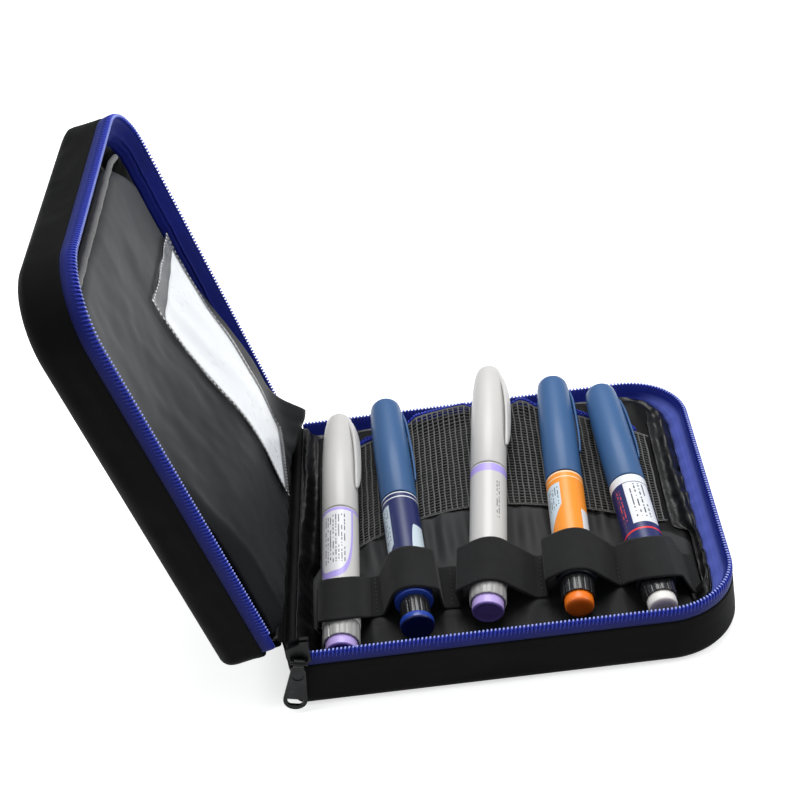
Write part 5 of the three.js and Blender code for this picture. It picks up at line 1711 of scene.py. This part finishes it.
def floor_look(glow):
    """A pale floor that is white to the camera, in reflections and through film, with a faint shadow."""
    look = Look("floor_white", (0.86, 0.86, 0.865), specular_ior_level=0.1)
    look.set("Roughness", look.noise(6, 2.0) * 0.1 + 0.82)
    path = "ShaderNodeLightPath"
    camera, glossy, film = (look.node(path, output=i) for i in (0, 3, 6))
    seen = camera.most(glossy).most(film)
    light = look.node("ShaderNodeEmission", {"Color": (1.0, 1.0, 1.0), "Strength": glow})
    plain = Wire(look, look.shader.outputs[0])
    lit = look.node("ShaderNodeAddShader", {0: plain, 1: light})
    shown = look.node("ShaderNodeMixShader", {0: seen, 1: plain, 2: lit})
    look.put(look.tree.nodes["Material Output"].inputs[0], shown)
    return look


def area_lamp(name, at, size, power):
    lamp = bpy.data.lights.new(name, "AREA")
    lamp.shape, lamp.size, lamp.energy = "DISK", size, power
    made = bpy.data.objects.new(name, lamp)
    made.location = at
    made.rotation_euler = (Vector((0, 0, 0.05)) - Vector(at)).to_track_quat("-Z", "Y").to_euler()
    bpy.context.scene.collection.objects.link(made)


class CASE_OT_stage(bpy.types.Operator):
    """Builds the floor, the lamps, the sky and the photograph's camera"""

    bl_idname = "cooling_case.stage"
    bl_label = "Floor, Lamps and Camera"

    def execute(self, context):
        scene, stage = context.scene, context.scene.cooling_stage
        photo_camera(scene)
        sides = 48
        angles = np.arange(sides) / sides * TURN
        ring = np.column_stack([np.cos(angles), np.sin(angles), 0 * angles]) * FLOOR_RADIUS
        faces = [*grid_faces(2, sides, True), range(sides, 2 * sides)]
        ground = mesh_object("floor", np.vstack([ring, ring * 0.1]), faces)
        ground.location.z = FLOOR_LEVEL
        ground.data.materials.append(floor_look(stage.glow).material)
        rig.stage(ground)
        world = bpy.data.worlds.new("sky")
        world.use_nodes = True
        nodes, links = world.node_tree.nodes, world.node_tree.links
        nodes["Background"].inputs[0].default_value = (0.96, 0.98, 1.0, 1)
        level = nodes.new("ShaderNodeMath")
        level.operation = "MAXIMUM"
        level.inputs[1].default_value = stage.sky
        links.new(nodes.new("ShaderNodeLightPath").outputs["Is Camera Ray"], level.inputs[0])
        links.new(level.outputs[0], nodes["Background"].inputs[1])
        scene.world = world
        area_lamp("key_lamp", (0.1, 0.4, 1.15), 0.9, stage.key)
        area_lamp("left_lamp", (-0.8, -0.2, 1.0), 0.7, stage.fill)
        area_lamp("right_lamp", (1.0, -0.15, 0.75), 0.6, stage.fill)
        scene.view_settings.view_transform = "Standard"
        return {"FINISHED"}


class CASE_PT_panel(bpy.types.Panel):
    bl_label = "Cooling Case"
    bl_space_type = "VIEW_3D"
    bl_region_type = "UI"
    bl_category = "Cooling Case"

    def draw(self, context):
        for group in (context.scene.cooling_case, context.scene.cooling_stage):
            for name in group.__annotations__:
                self.layout.prop(group, name)
        for made in OPERATORS:
            self.layout.operator(made.bl_idname)


OPERATORS = (CASE_OT_shells, CASE_OT_zip_rows, CASE_OT_liners, CASE_OT_pads, CASE_OT_net, CASE_OT_strap,
             CASE_OT_window, CASE_OT_slider, CASE_OT_pens, CASE_OT_stage)
CLASSES = (CaseSettings, StageSettings, *OPERATORS, CASE_PT_panel)


def register():
    for made in CLASSES:
        bpy.utils.register_class(made)
    bpy.types.Scene.cooling_case = bpy.props.PointerProperty(type=CaseSettings)
    bpy.types.Scene.cooling_stage = bpy.props.PointerProperty(type=StageSettings)


def unregister():
    del bpy.types.Scene.cooling_stage
    del bpy.types.Scene.cooling_case
    for made in reversed(CLASSES):
        bpy.utils.unregister_class(made)


def main():
    for name in ("Cube", "Light", "Camera"):
        if name in bpy.data.objects:
            bpy.data.objects.remove(bpy.data.objects[name])
    register()
    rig.load()
    sizes = {"cad": [list(corner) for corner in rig.bounds()]}
    for made in OPERATORS:
        getattr(bpy.ops.cooling_case, made.bl_idname.split(".")[1])()
    sizes["visual"] = [list(corner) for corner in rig.bounds()]
    with open("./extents.json", "w") as out:
        json.dump(sizes, out)


if __name__ == "__main__":
    main()
